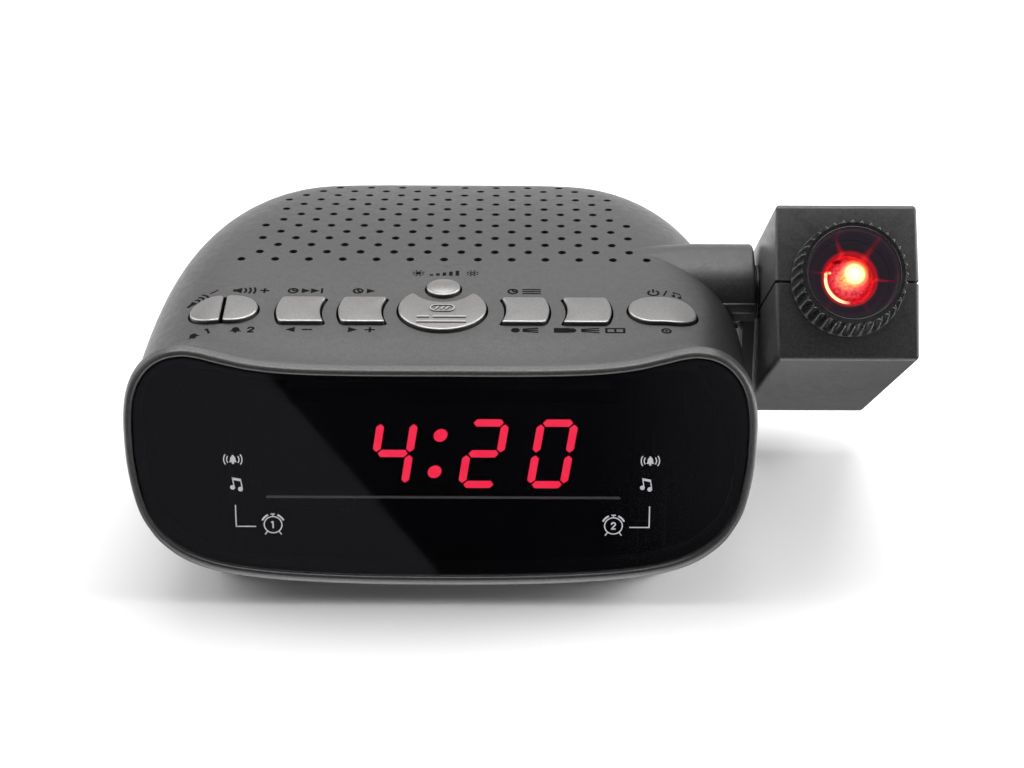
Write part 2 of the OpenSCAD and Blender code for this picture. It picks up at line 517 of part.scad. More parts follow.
module speaker_screws() place() color([0.7, 0.7, 0.7])
  for (x = [-31.5, 31.5]) for (y = [18, 45]) translate([grille_x + x, y, spk_z]) small_screw(5);
module board_screws() place() color([0.7, 0.7, 0.7]) {
  on_deck() for (x = [-43.2, 45.2]) translate([x, 10, -12.1]) small_screw(6);
  for (p = stand_xy) translate([p[0], p[1], board_z + 1.6]) rotate([180, 0, 0]) small_screw(6);
}

// ---------- projector ----------
module pivot_tube() place() color([0.34, 0.34, 0.34]) on_axis() difference() {
  union() {
    xcyl(74.2, head_x0 + 4.25, neck_r);
    xcyl(75.75, 77.95, 10.2);
    xcyl(head_x0 + 2.35, head_x0 + 4.25, 9.6);
  }
  xcyl(70, 90, 4.6);
}
module friction_washer() place() color([0.8, 0.8, 0.78]) on_axis() difference() {
  xcyl(78, 78.8, 9.8);
  xcyl(70, 90, neck_r + 0.25);
}
module head_half(h) {
  translate([head_cx, (head_r - head_f)/2, 0]) drafted_box(head_w, head_f + head_r, h, 1.2, 1, 0.9);
}
module head_room(h) {
  translate([head_cx, (head_r - head_f)/2, -0.5]) drafted_box(head_w - 4, head_f + head_r - 4, h - 1.5, 1, 1, 0.5);
}
module head_shared_cuts() {
  // front opening for the focus ring, and the hole for the neck
  translate([head_cx, -head_f - 5, head_mid]) rotate([-90, 0, 0]) cylinder(h = 9, r = 11.55, $fn = 96);
  xcyl(80, 87, neck_r + 0.02);
}
head_posts = [[10, 42], [-10, 42], [10, -22], [-10, -22]];
module projector_upper_shell() place() color([0.34, 0.34, 0.34]) in_head() difference() {
  union() {
    translate([0, 0, head_mid + 0.25]) difference() {
      head_half(head_h/2 - 0.25);
      head_room(head_h/2 - 0.25);
    }
    for (p = head_posts) translate([head_cx + p[0], p[1], head_mid + 0.3]) cylinder(h = head_h/2 - 1.5, r = 2.6, $fn = 32);
  }
  head_shared_cuts();
  for (p = head_posts) translate([head_cx + p[0], p[1], head_mid - 1]) cylinder(h = 10, r = 0.95, $fn = 24);
}
module projector_lower_shell() place() color([0.34, 0.34, 0.34]) in_head() difference() {
  union() {
    translate([0, 0, head_mid - 0.25]) mirror([0, 0, 1]) difference() {
      head_half(head_h/2 - 0.25);
      head_room(head_h/2 - 0.25);
    }
    // posts with pegs that press into the posts of the upper half
    for (p = head_posts) translate([head_cx + p[0], p[1], head_mid - head_h/2 + 1]) {
      cylinder(h = head_h/2 - 1.3, r = 2.6, $fn = 32);
      cylinder(h = head_h/2 + 5.5, r = 0.93, $fn = 24);
    }
  }
  head_shared_cuts();
}
focus_l = 12;            // how far the focus ring stands out
module focus_ring() place() color([0.07, 0.07, 0.07]) on_lens() difference() {
  union() {
    difference() {
      rotate_extrude($fn = 144) polygon([[10.95, 0.4], [focus_d/2, 0.4], [focus_d/2, 1.2], [focus_d/2 - 0.9, focus_l - 0.7],
        [focus_d/2 - 1.2, focus_l], [11.75, focus_l], [11.35, focus_l - 0.4], [11.3, focus_l - 1.9], [10.95, focus_l - 2.2]]);
      for (k = [0:focus_ribs-1]) rotate(k*360/focus_ribs) translate([focus_d/2 + 0.57, 0, 0.6])
        rotate([0, -6.95, 0]) cylinder(h = focus_l + 1.5, r1 = 0.45, r2 = 1.41, $fn = 12);
    }
    // collar that turns in the front wall, and its snap edge
    rotate_extrude($fn = 120) polygon([[10.1, -4.6], [12.2, -4.6], [12.2, -3.2], [11.5, -2.4], [11.5, 0.5], [10.1, 0.5]]);
    rotate_extrude($fn = 120) polygon([[10.1, 0.4], [11.2, 0.4], [11.2, 3], [10.1, 3]]);
  }
  translate([0, 0, -10]) cylinder(h = 13.5, r = 10.1, $fn = 96);
}
module lens_barrel() place() color([0.04, 0.04, 0.04]) on_lens() difference() {
  union() {
    translate([0, 0, -20]) cylinder(h = 22.4, r = 10, $fn = 96);
    translate([0, 0, 1.4]) cylinder(h = 2.6, r = 8.2, $fn = 96);
  }
  translate([0, 0, -21]) cylinder(h = 19.5, r = 8.6, $fn = 96);
  translate([0, 0, -2]) cylinder(h = 7, r = 6.4, $fn = 96);
}
module projection_lens() place() color([0.9, 0.15, 0.15, 0.8]) on_lens() rotate_extrude($fn = 96)
  polygon([[0, -1.6], [6.35, -1.6], [6.35, 1.2], [5.4, 2.2], [3.9, 3], [2, 3.5], [0, 3.65]]);
module lcd_panel() place() color([0.25, 0.3, 0.28]) on_lens() translate([0, 0, -44]) translate([-8, -8, 0]) cube([16, 16, 2.2]);
module optics_holder() place() color([0.1, 0.1, 0.1]) on_lens() difference() {
  union() {
    translate([-10.2, -10.2, -60.4]) cube([20.4, 20.4, 20.4]);
    translate([-13.5, -12, -60.4]) cube([27, 24, 2]);
  }
  translate([-8.05, -8.05, -52]) cube([16.1, 16.1, 20]);
  translate([0, 0, -70]) cylinder(h = 20, r = 7.5, $fn = 64);
}
module condenser_lens() place() color([0.85, 0.9, 0.95, 0.5]) on_lens() translate([0, 0, -52]) rotate_extrude($fn = 64)
  polygon([[0, 0], [8, 0], [8, 1.4], [6, 3], [3, 4.1], [0, 4.5]]);
// small board with the projection LED, and the frame that holds the optics
module projector_led_board() place() color([0.12, 0.4, 0.18]) on_lens() {
  translate([-14, -14.5, -62]) cube([28, 29, 1.6]);
  translate([0, 0, -60.4]) cylinder(h = 5, r = 2.5, $fn = 32);
}

top_shell();
bottom_shell();
front_bezel();
display_window();
display_housing();
digit_segments();
main_board();
key_board();
button_snooze();
button_dimmer();
button_alarm_1();
button_alarm_2();
button_hour();
button_minute();
button_time();
button_projection();
button_function();
speaker();
speaker_cone();
transformer();
cord_gland();
battery_door();
battery_contacts();
rubber_feet();
case_screws();
pivot_tube();
friction_washer();
projector_upper_shell();
projector_lower_shell();
focus_ring();
lens_barrel();
projection_lens();
lcd_panel();
condenser_lens();
projector_led_board();
speaker_screws();
board_screws();
optics_holder();
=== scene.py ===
import math

import bpy
import numpy as np
from mathutils import Matrix, Vector
from mathutils.interpolate import poly_3d_calc
from mathutils.bvhtree import BVHTree


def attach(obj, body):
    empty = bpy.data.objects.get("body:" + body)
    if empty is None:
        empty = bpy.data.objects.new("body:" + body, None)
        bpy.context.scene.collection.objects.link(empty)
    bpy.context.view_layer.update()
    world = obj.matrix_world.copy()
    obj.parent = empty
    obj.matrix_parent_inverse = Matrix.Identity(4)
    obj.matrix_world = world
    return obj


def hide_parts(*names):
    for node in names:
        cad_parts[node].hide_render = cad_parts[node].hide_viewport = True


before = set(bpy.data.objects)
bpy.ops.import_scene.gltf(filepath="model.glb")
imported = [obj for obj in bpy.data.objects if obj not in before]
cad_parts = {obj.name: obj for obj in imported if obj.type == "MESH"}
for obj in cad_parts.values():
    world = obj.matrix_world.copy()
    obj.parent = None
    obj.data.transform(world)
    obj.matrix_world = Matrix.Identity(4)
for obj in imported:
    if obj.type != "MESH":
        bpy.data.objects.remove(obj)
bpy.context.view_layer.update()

# Sizes below are in millimetres in the CAD source's construction coordinates;
# mm() turns them into metres in the frame.
OX, OY = 20.2, 10.578


def mm(p):
    return ((p[0] - OX) / 1000.0, (p[1] - OY) / 1000.0, p[2] / 1000.0)


def rad(a):
    return math.radians(a)


# ---------------------------------------------------------------- camera
scene = bpy.context.scene
cam_data = bpy.data.cameras.new("camera")
cam = bpy.data.objects.new("camera", cam_data)
scene.collection.objects.link(cam)
scene.camera = cam
cam_data.sensor_width = 36.0
cam_data.lens = 85.69
cam_data.clip_start = 0.05
cam_data.clip_end = 20
pitch, roll = rad(25.0), rad(0.213)
fw = Vector((0, math.cos(pitch), -math.sin(pitch)))
rt = Vector((1, 0, 0))
up = rt.cross(fw)
r2 = math.cos(roll) * rt + math.sin(roll) * up
u2 = -math.sin(roll) * rt + math.cos(roll) * up
cam.matrix_world = Matrix((
    (r2.x, u2.x, -fw.x, 0), (r2.y, u2.y, -fw.y, 0), (r2.z, u2.z, -fw.z, 0), (0, 0, 0, 1)))
cam.matrix_world.translation = Vector(mm((17.784, -602.458, 314.397)))

# ---------------------------------------------------------------- the body's form
W, Y0, YR, ON, OM = 79.5, -40.0, 83.0, 4.7, 1.9
SA, SB, ZB, BH = 24.0, 21.0, 3.0, 70.0
RING, CREASE = 2.4, -2.55
DECK, LEAN = rad(5.6), rad(4.0)
FACE_O = np.array([0, -57.5, 62.4])
LENS = [[0, -54.5], [20, -54.3], [36, -53.6], [47, -52.6], [56, -51], [63, -48.5],
        [68, -45.2], [71.8, -41], [74.5, -35], [76.3, -25], [76.7, -15], [76.2, -8],
        [74.7, -2.8], [72, 1.2], [68.4, 3.7], [64, 4.7], [60, 4.3], [55, 3], [47, 1.2],
        [36, 0.1], [20, -0.3], [0, -0.3]]
JN = len(LENS)
LOW_IN = [33, 33, 33, 33, 24, 17, 11.5, 7.3, 3.6, 1, 0]
LOW_Z = [0, 0, 0, 0, 1, 3.4, 7.5, 13, 20.5, 31, 41]
LOW_IN_M = [0, 0, 0, -5, -8, -6.2, -4.8, -3.9, -3.1, -1.6, 0]
LOW_Z_M = [0, 0, 0, 0, 1.7, 3.2, 4.8, 6.5, 9, 10.2, 8]
SH = [0, 15, 30, 43, 55, 66, 77, 90]
FLAT = [1, 0.85, 0.65, 0.36, 0]
BOT = [0, 0.4, 0.75, 1]


def top_z(y):
    if y >= 0:
        s = y / 60
        return BH + 4.65 * s - 6.1 * s * s - 0.24 * s ** 3
    if y >= -12:
        return BH + 0.0775 * y - (math.tan(DECK) - 0.0775) * y * y / 24
    return top_z(-12) + math.tan(DECK) * (y + 12)


def half_at(i):
    if i < 0:
        return (-LENS[-i][0], LENS[-i][1])
    if i > JN - 1:
        k = 2 * (JN - 1) - i
        return (-LENS[k][0], LENS[k][1])
    return tuple(LENS[i])


def outline(j):
    """Point and outward normal of the window's half outline at real index j."""
    i = min(int(math.floor(j)), JN - 2)
    s = j - i
    a, b, c, d = (np.array(half_at(i + k), float) for k in (-1, 0, 1, 2))
    p = 0.5 * (2 * b + (c - a) * s + (2 * a - 5 * b + 4 * c - d) * s * s + (3 * b - a - 3 * c + d) * s ** 3)
    t = 0.5 * ((c - a) + 2 * (2 * a - 5 * b + 4 * c - d) * s + 3 * (3 * b - a - 3 * c + d) * s * s)
    t = t / np.linalg.norm(t)
    n = np.array([t[1], -t[0]])
    if j <= 0:
        n = np.array([0.0, -1.0])
    if j >= JN - 1:
        n = np.array([0.0, 1.0])
    return p, n


def hermite(v, m, x):
    i = min(int(math.floor(x)), len(v) - 2)
    s = x - i
    return ((2 * s ** 3 - 3 * s * s + 1) * v[i] + (s ** 3 - 2 * s * s + s) * m[i]
            + (-2 * s ** 3 + 3 * s * s) * v[i + 1] + (s ** 3 - s * s) * m[i + 1])


def lin(v, x):
    i = min(int(math.floor(x)), len(v) - 2)
    return v[i] + (v[i + 1] - v[i]) * (x - i)


def inset_at(j, t):
    if j < 10:
        return hermite(LOW_IN, LOW_IN_M, j) * (1 - t / 36)
    if j < 17:
        return (SA - t) * (1 - math.cos(rad(lin(SH, j - 10))))
    return SA - t


def fx_at(j):
    if j < 3:
        return lin(BOT, j)
    if j <= 17:
        return 1.0
    return lin(FLAT, j - 17)


def z_at(j, y, t):
    top = top_z(y)
    if j < 10:
        return ZB + t + hermite(LOW_Z, LOW_Z_M, j) * (top - SB - ZB - t) / 41
    if j < 17:
        return top - t - (SB - t) * (1 - math.sin(rad(lin(SH, j - 10))))
    return top - t


def face_pt(p, w):
    return FACE_O + np.array([p[0], p[1] * math.sin(LEAN) - w * math.cos(LEAN),
                              p[1] * math.cos(LEAN) + w * math.sin(LEAN)])


def plan(th, t):
    c, s = math.cos(th), math.sin(th)
    a, b = W - t, YR - t - Y0
    x = a * max(c, 0) ** (2 / ON)
    y = Y0 + b * max(s, 0) ** (2 / OM)
    n = np.array([ON / a * (x / a) ** (ON - 1), OM / b * max(0, (y - Y0) / b) ** (OM - 1)])
    return np.array([x, y]), n / np.linalg.norm(n)


def section(kind, q, js, t):
    out = []
    for j in js:
        if kind == "ext":
            p, n = outline(j)
            out.append(face_pt(p + (RING - t) * n, 8))
        elif kind == "front":
            p, n = outline(j)
            r = face_pt(p + (RING - t) * n, CREASE)
            y = r[1] + (Y0 - r[1]) * q
            f = (1 - q) ** 2.2
            b = np.array([(W - t - inset_at(j, t)) * fx_at(j), y, z_at(j, y, t)])
            out.append(np.array([b[0] + (r[0] - b[0]) * f, y, b[2] + (r[2] - b[2]) * f]))
        else:
            p, n = plan(q, t)
            k = 1 - 0.5 * math.sin(q) ** 2 if j < 10 else 1.0
            p = p - inset_at(j, t) * k * n
            out.append(np.array([p[0] * fx_at(j), p[1], z_at(j, p[1], t)]))
    return out


def body_solid(t, ext, steps_low, steps_sh, steps_flat, n_front, n_rear):
    js = []
    for i in range(JN - 1):
        k = (max(2, steps_low // 2) if i < 3 else steps_low) if i < 10 else steps_sh if i < 17 else steps_flat
        js += [i + s / k for s in range(k)]
    js.append(JN - 1)
    fine = [rad(a) for a in np.linspace(0, 90, 721)]
    arc = [0.0]
    for a, b in zip(fine, fine[1:]):
        arc.append(arc[-1] + float(np.linalg.norm(plan(b, t)[0] - plan(a, t)[0])))
    ths = list(np.interp(np.linspace(0, arc[-1], n_rear), arc, fine))
    ths = [t for t in ths[:-1] if t < rad(89.4)] + [rad(89.6)]
    secs = [section("ext", 0, js, t)] if ext else []
    secs += [section("front", g, js, t) for g in np.linspace(0, 1, n_front + 1)[:-1] ** 1.25]
    secs += [section("rear", th, js, t) for th in ths]
    m = 2 * len(js) - 2
    verts = []
    for h in secs:
        verts += h + [np.array([-h[k][0], h[k][1], h[k][2]]) for k in range(len(js) - 2, 0, -1)]
    faces = []
    for k in range(len(secs) - 1):
        for i in range(m):
            i2 = (i + 1) % m
            faces.append((k * m + i, k * m + i2, (k + 1) * m + i2, (k + 1) * m + i))
    faces.append(tuple(range(m - 1, -1, -1)))
    e = (len(secs) - 1) * m
    last = len(js) - 1

    def lft(k):
        return k if k in (0, last) else m - k

    lo = max(i for i, j in enumerate(js) if j <= 3)
    hi = min(i for i, j in enumerate(js) if j >= 17)
    faces.append(tuple([e + lo + 1] + [e + k for k in range(lo, -1, -1)] + [e + lft(k) for k in range(1, lo + 2)])[::-1])
    for k in range(lo + 1, hi - 1):
        faces.append((e + k, e + k + 1, e + lft(k + 1), e + lft(k)))
    faces.append(tuple([e + hi - 1, e + lft(hi - 1)] + [e + lft(k) for k in range(hi, last + 1)]
                       + [e + k for k in range(last - 1, hi - 1, -1)])[::-1])
    return [tuple(v) for v in verts], faces


# ---------------------------------------------------------------- mesh helpers
def new_object(name, verts, faces, place=mm):
    me = bpy.data.meshes.new(name)
    me.from_pydata([place(v) for v in verts] if place else verts, [], faces)
    me.update()
    ob = bpy.data.objects.new(name, me)
    scene.collection.objects.link(ob)
    return ob


def clean_normals(ob):
    import bmesh
    bm = bmesh.new()
    bm.from_mesh(ob.data)
    bmesh.ops.remove_doubles(bm, verts=bm.verts, dist=1e-7)
    bmesh.ops.dissolve_degenerate(bm, edges=bm.edges, dist=1e-8)
    bmesh.ops.recalc_face_normals(bm, faces=bm.faces)
    bm.to_mesh(ob.data)
    bm.free()


def smooth(ob, angle=32):
    me = ob.data
    me.shade_smooth()
    me.set_sharp_from_angle(angle=rad(angle))


def apply_mods(ob):
    bpy.context.view_layer.update()
    dg = bpy.context.evaluated_depsgraph_get()
    me = bpy.data.meshes.new_from_object(ob.evaluated_get(dg))
    me.name = ob.name
    old = ob.data
    ob.modifiers.clear()
    ob.data = me
    bpy.data.meshes.remove(old)


def boolean(ob, cutters, op="DIFFERENCE", solver="MANIFOLD"):
    for c in cutters:
        md = ob.modifiers.new("cut", "BOOLEAN")
        md.object = c
        md.operation = op
        md.solver = solver
    apply_mods(ob)
    for c in cutters:
        bpy.data.objects.remove(c)


def prism(name, loop, z0, z1, place):
    """Closed prism of a 2D loop between z0 and z1."""
    n = len(loop)
    v = [(p[0], p[1], z0) for p in loop] + [(p[0], p[1], z1) for p in loop]
    f = [tuple(range(n - 1, -1, -1)), tuple(range(n, 2 * n))]
    f += [(i, (i + 1) % n, n + (i + 1) % n, n + i) for i in range(n)]
    return new_object(name, v, f, place)


def merged_prisms(name, loops, z0, z1, place):
    v, f = [], []
    for loop in loops:
        n, b = len(loop), len(v)
        v += [(p[0], p[1], z0) for p in loop] + [(p[0], p[1], z1) for p in loop]
        f += [tuple(b + i for i in range(n - 1, -1, -1)), tuple(b + i for i in range(n, 2 * n))]
        f += [(b + i, b + (i + 1) % n, b + n + (i + 1) % n, b + n + i) for i in range(n)]
    return new_object(name, v, f, place)


def circle(cx, cy, r, n=24, a0=0.0):
    return [(cx + r * math.cos(a0 + 2 * math.pi * i / n), cy + r * math.sin(a0 + 2 * math.pi * i / n)) for i in range(n)]


def box_solid(name, lo, hi, place=mm):
    x0, y0, z0 = lo
    x1, y1, z1 = hi
    return prism(name, [(x0, y0), (x1, y0), (x1, y1), (x0, y1)], z0, z1, place)


def lathe(name, prof, place, n=96, closed=True, wave=None):
    """Turns (r, h) points about the local Z; place maps local mm to metres."""
    v, f = [], []
    m = len(prof)
    for i in range(n):
        a = 2 * math.pi * i / n
        for k, (r, h) in enumerate(prof):
            rr = r - (wave(a, k) if wave else 0.0)
            v.append((rr * math.cos(a), rr * math.sin(a), h))
    rng = range(m) if closed else range(m - 1)
    for i in range(n):
        for k in rng:
            k2 = (k + 1) % m
            f.append((i * m + k, ((i + 1) % n) * m + k, ((i + 1) % n) * m + k2, i * m + k2))
    ob = new_object(name, v, f, place)
    clean_normals(ob)
    return ob


def area2(loop):
    return sum(a[0] * b[1] - b[0] * a[1] for a, b in zip(loop, loop[1:] + loop[:1])) / 2


def round_corners(loop, r, r_tip=None, limit=25, step=0.15):
    """Rounds each corner sharper than limit degrees; r_tip is for corners under a right angle."""
    if area2(loop) < 0:
        loop = loop[::-1]
    pts = [np.array(p, float) for p in resample(loop, step)]
    m = len(pts)
    corners = []
    for i in range(m):
        d1, d2 = pts[i] - pts[i - 1], pts[(i + 1) % m] - pts[i]
        turn = math.degrees(math.atan2(d1[0] * d2[1] - d1[1] * d2[0], d1 @ d2))
        if abs(turn) >= limit:
            rr = r_tip if r_tip and abs(turn) > 95 else r
            corners.append((i, rr * math.tan(rad(min(abs(turn), 140)) / 2)))
    gone, arcs = set(), {}
    for i, d in corners:
        ends = []
        for way in (-1, 1):
            walked, k = 0.0, i
            gone.add(i)
            while walked < d:
                k2 = (k + way) % m
                walked += float(np.linalg.norm(pts[k2] - pts[k]))
                k = k2
                gone.add(k)
            ends.append(pts[k])
        arcs[i] = [(1 - u) ** 2 * ends[0] + 2 * u * (1 - u) * pts[i] + u * u * ends[1] for u in np.linspace(0, 1, 9)]
    out = []
    for i in range(m):
        if i in arcs:
            out += [tuple(q) for q in arcs[i]]
        elif i not in gone:
            out.append(tuple(pts[i]))
    keep = []
    for q in out:
        if not keep or math.hypot(q[0] - keep[-1][0], q[1] - keep[-1][1]) > 0.03:
            keep.append(q)
    if math.hypot(keep[0][0] - keep[-1][0], keep[0][1] - keep[-1][1]) < 0.03:
        keep.pop()
    return keep


def offset_loop(loop, d):
    """Moves each point d outwards along its vertex normal (loop runs anticlockwise)."""
    m = len(loop)
    out = []
    for i in range(m):
        a, b, c = (np.array(loop[(i + k) % m], float) for k in (-1, 0, 1))
        t = (b - a) / max(np.linalg.norm(b - a), 1e-9) + (c - b) / max(np.linalg.norm(c - b), 1e-9)
        t = t / max(np.linalg.norm(t), 1e-9)
        out.append((b[0] + t[1] * d, b[1] - t[0] * d))
    return out


def resample(loop, step):
    pts = [np.array(p, float) for p in loop]
    out = []
    for a, b in zip(pts, pts[1:] + pts[:1]):
        k = max(1, int(round(np.linalg.norm(b - a) / step)))
        out += [tuple(a + (b - a) * s / k) for s in range(k)]
    return out


def cap_mesh(name, loop, prof, dome, place, shrink=(0.7, 0.4)):
    """A cap with a rounded edge: prof is (outward offset, z) from bottom to top."""
    if area2(loop) < 0:
        loop = loop[::-1]
    n = len(loop)
    v, f = [], []
    for d, z in prof:
        v += [(p[0], p[1], z) for p in offset_loop(loop, d)]
    rings = len(prof)
    if not shrink:
        for k in range(rings - 1):
            for i in range(n):
                f.append((k * n + i, k * n + (i + 1) % n, (k + 1) * n + (i + 1) % n, (k + 1) * n + i))
        f.append(tuple(range((rings - 1) * n, rings * n)))
        f.append(tuple(range(n - 1, -1, -1)))
        return new_object(name, v, f, place)
    last = offset_loop(loop, prof[-1][0])
    cx, cy = np.mean([p[0] for p in last]), np.mean([p[1] for p in last])
    zt = prof[-1][1]
    for s in shrink:
        v += [(cx + (p[0] - cx) * s, cy + (p[1] - cy) * s, zt + dome * (1 - s * s)) for p in last]
        rings += 1
    v.append((cx, cy, zt + dome))
    for k in range(rings - 1):
        for i in range(n):
            f.append((k * n + i, k * n + (i + 1) % n, (k + 1) * n + (i + 1) % n, (k + 1) * n + i))
    for i in range(n):
        f.append(((rings - 1) * n + i, (rings - 1) * n + (i + 1) % n, rings * n))
    f.append(tuple(range(n - 1, -1, -1)))
    return new_object(name, v, f, place)


# local frames
def on_face(p):
    q = face_pt((p[0], p[1]), p[2])
    return mm(q)


KEY_Y = -29.05


def deck_xyz(p):
    return (p[0], KEY_Y + p[1] * math.cos(DECK) - p[2] * math.sin(DECK),
            top_z(KEY_Y) + p[1] * math.sin(DECK) + p[2] * math.cos(DECK))


def on_deck(p):
    return mm(deck_xyz(p))


AX_Y, AX_Z = 6.3, BH - 11.75
BOSS_R, BOSS_X, NECK_R = 13.0, 82.5, 7.3
HEAD_X0, HEAD_W, HEAD_H, HEAD_MID, HEAD_F, HEAD_R = 83.7, 36.2, 39.6, -6.0, 48.6, 51.0
HEAD_CX = HEAD_X0 + HEAD_W / 2
TILT = rad(33)


def on_axis(p):
    return mm((p[0], AX_Y + p[1], AX_Z + p[2]))


def in_head_xyz(p):
    c, s = math.cos(-TILT), math.sin(-TILT)
    return (p[0], AX_Y + p[1] * c - p[2] * s, AX_Z + p[1] * s + p[2] * c)


def in_head(p):
    return mm(in_head_xyz(p))


def on_lens(p):
    return in_head((HEAD_CX + p[0], -HEAD_F - p[2], HEAD_MID + p[1]))


# ---------------------------------------------------------------- materials
def nodes_of(name):
    mt = bpy.data.materials.new(name)
    mt.use_nodes = True
    nt = mt.node_tree
    bsdf = nt.nodes["Principled BSDF"]
    return mt, nt, bsdf


def noise(nt, coord, scale, detail=2.0, rough=0.5):
    n = nt.nodes.new("ShaderNodeTexNoise")
    n.inputs["Scale"].default_value = scale
    n.inputs["Detail"].default_value = detail
    n.inputs["Roughness"].default_value = rough
    nt.links.new(coord, n.inputs["Vector"])
    return n.outputs["Fac"]


def ramp(nt, fac, stops):
    r = nt.nodes.new("ShaderNodeValToRGB")
    el = r.color_ramp.elements
    while len(el) < len(stops):
        el.new(0.5)
    for e, (pos, col) in zip(el, stops):
        e.position = pos
        e.color = (*col, 1) if len(col) == 3 else col
    nt.links.new(fac, r.inputs["Fac"])
    return r.outputs["Color"]


def mix_rgb(nt, mode, fac, a, b):
    n = nt.nodes.new("ShaderNodeMix")
    n.data_type = "RGBA"
    n.blend_type = mode
    for sock, val in ((n.inputs[0], fac), (n.inputs[6], a), (n.inputs[7], b)):
        if hasattr(val, "is_output"):
            nt.links.new(val, sock)
        else:
            sock.default_value = val
    return n.outputs[2]


def bump(nt, bsdf, height, strength, dist):
    b = nt.nodes.new("ShaderNodeBump")
    b.inputs["Strength"].default_value = strength
    b.inputs["Distance"].default_value = dist
    nt.links.new(height, b.inputs["Height"])
    nt.links.new(b.outputs["Normal"], bsdf.inputs["Normal"])
    return b


def obj_coord(nt):
    return nt.nodes.new("ShaderNodeTexCoord").outputs["Object"]


def grey(v, warm=0.0):
    return (v * (1 + warm), v, v * (1 - warm))


def paint(name, lo, hi, rough, metal, spec=0.5, grain=1600, grain_bump=0.12, warm=0.0, patch=0.06, coat=0.0, uneven=0.05):
    """Sprayed plastic: fine metallic flakes, slow tone variation and orange peel."""
    mt, nt, b = nodes_of(name)
    co = obj_coord(nt)
    flake = noise(nt, co, grain, 3.0, 0.65)
    col = ramp(nt, flake, [(0.34, grey(lo, warm)), (0.66, grey(hi, warm))])
    slow = ramp(nt, noise(nt, co, 28, 3), [(0.3, (1 - patch,) * 3), (0.7, (1 + patch,) * 3)])
    nt.links.new(mix_rgb(nt, "MULTIPLY", 1.0, col, slow), b.inputs["Base Color"])
    rr = ramp(nt, noise(nt, co, 420, 2), [(0.3, (rough - uneven,) * 3), (0.7, (rough + uneven,) * 3)])
    nt.links.new(rr, b.inputs["Roughness"])
    b.inputs["Metallic"].default_value = metal
    b.inputs["Specular IOR Level"].default_value = spec
    b.inputs["Coat Weight"].default_value = coat
    bump(nt, b, noise(nt, co, grain * 0.8, 2), grain_bump, 0.00006)
    return mt


def shade_walls_and_paint_front_highlight(mt, painted_highlight_gain):
    """Painted shade and highlight: darkens the upright walls to stand in for shade, and lightens the front-facing bevel
    as a painted highlight.
    """
    nt = mt.node_tree
    b = nt.nodes["Principled BSDF"]
    src = b.inputs["Base Color"].links[0].from_socket
    sep = nt.nodes.new("ShaderNodeSeparateXYZ")
    nt.links.new(nt.nodes.new("ShaderNodeNewGeometry").outputs["Normal"], sep.inputs[0])
    neg = nt.nodes.new("ShaderNodeMath")
    neg.operation = "MULTIPLY"
    neg.inputs[1].default_value = -1.0
    nt.links.new(sep.outputs[1], neg.inputs[0])
    # painted shade: faces that stand upright are darkened to stand in for the shade in the gap round the key
    painted_wall_shade = ramp(nt, sep.outputs[2], [(0.28, (0.16,) * 3), (0.50, (1.0,) * 3)])
    # painted highlight: faces turned to the front are made lighter, so the front bevel reads as catching light
    front = ramp(nt, neg.outputs[0], [(0.16, (1.0,) * 3), (0.34, (painted_highlight_gain,) * 3)])
    painted_shade_and_highlight = mix_rgb(nt, "MULTIPLY", 1.0, painted_wall_shade, front)
    nt.links.new(mix_rgb(nt, "MULTIPLY", 1.0, src, painted_shade_and_highlight), b.inputs["Base Color"])
    return mt


def plastic(name, col, rough, spec=0.5, grain=700, grain_bump=0.1, vary=0.1, dist=0.00008):
    mt, nt, b = nodes_of(name)
    co = obj_coord(nt)
    c = ramp(nt, noise(nt, co, grain, 3), [(0.3, tuple(x * (1 - vary) for x in col)), (0.7, tuple(x * (1 + vary) for x in col))])
    nt.links.new(c, b.inputs["Base Color"])
    rr = ramp(nt, noise(nt, co, 60, 2), [(0.3, (rough - 0.04,) * 3), (0.7, (rough + 0.04,) * 3)])
    nt.links.new(rr, b.inputs["Roughness"])
    b.inputs["Specular IOR Level"].default_value = spec
    bump(nt, b, noise(nt, co, grain, 2), grain_bump, dist)
    return mt


def metal(name, col, rough, brushed=0.0):
    mt, nt, b = nodes_of(name)
    co = obj_coord(nt)
    mp = nt.nodes.new("ShaderNodeMapping")
    mp.inputs["Scale"].default_value = (1, 1, 0.08) if brushed else (1, 1, 1)
    nt.links.new(co, mp.inputs["Vector"])
    g = noise(nt, mp.outputs["Vector"], 900, 3)
    c = ramp(nt, g, [(0.3, tuple(x * 0.85 for x in col)), (0.7, col)])
    nt.links.new(c, b.inputs["Base Color"])
    b.inputs["Metallic"].default_value = 1.0
    rr = ramp(nt, g, [(0.3, (rough - 0.05,) * 3), (0.7, (rough + 0.08,) * 3)])
    nt.links.new(rr, b.inputs["Roughness"])
    return mt


MAT = {}
MAT["case"] = paint("case_paint", 0.030, 0.051, 0.42, 0.25, warm=0.012)
MAT["ring"] = paint("bezel_paint", 0.042, 0.068, 0.34, 0.3, warm=0.012)
MAT["head"] = paint("head_paint", 0.034, 0.058, 0.38, 0.3, warm=0.02)
MAT["base"] = plastic("base_plastic", (0.016, 0.0155, 0.016), 0.55, spec=0.35, grain=900, grain_bump=0.2)
MAT["keys"] = paint("key_paint", 0.142, 0.188, 0.29, 0.35, warm=0.03, grain=1900, grain_bump=0.03, patch=0.02, uneven=0.01)
MAT["relief"] = paint("relief_paint", 0.30, 0.36, 0.29, 0.3, warm=0.03, grain=1900, grain_bump=0.03, patch=0.02, uneven=0.01)
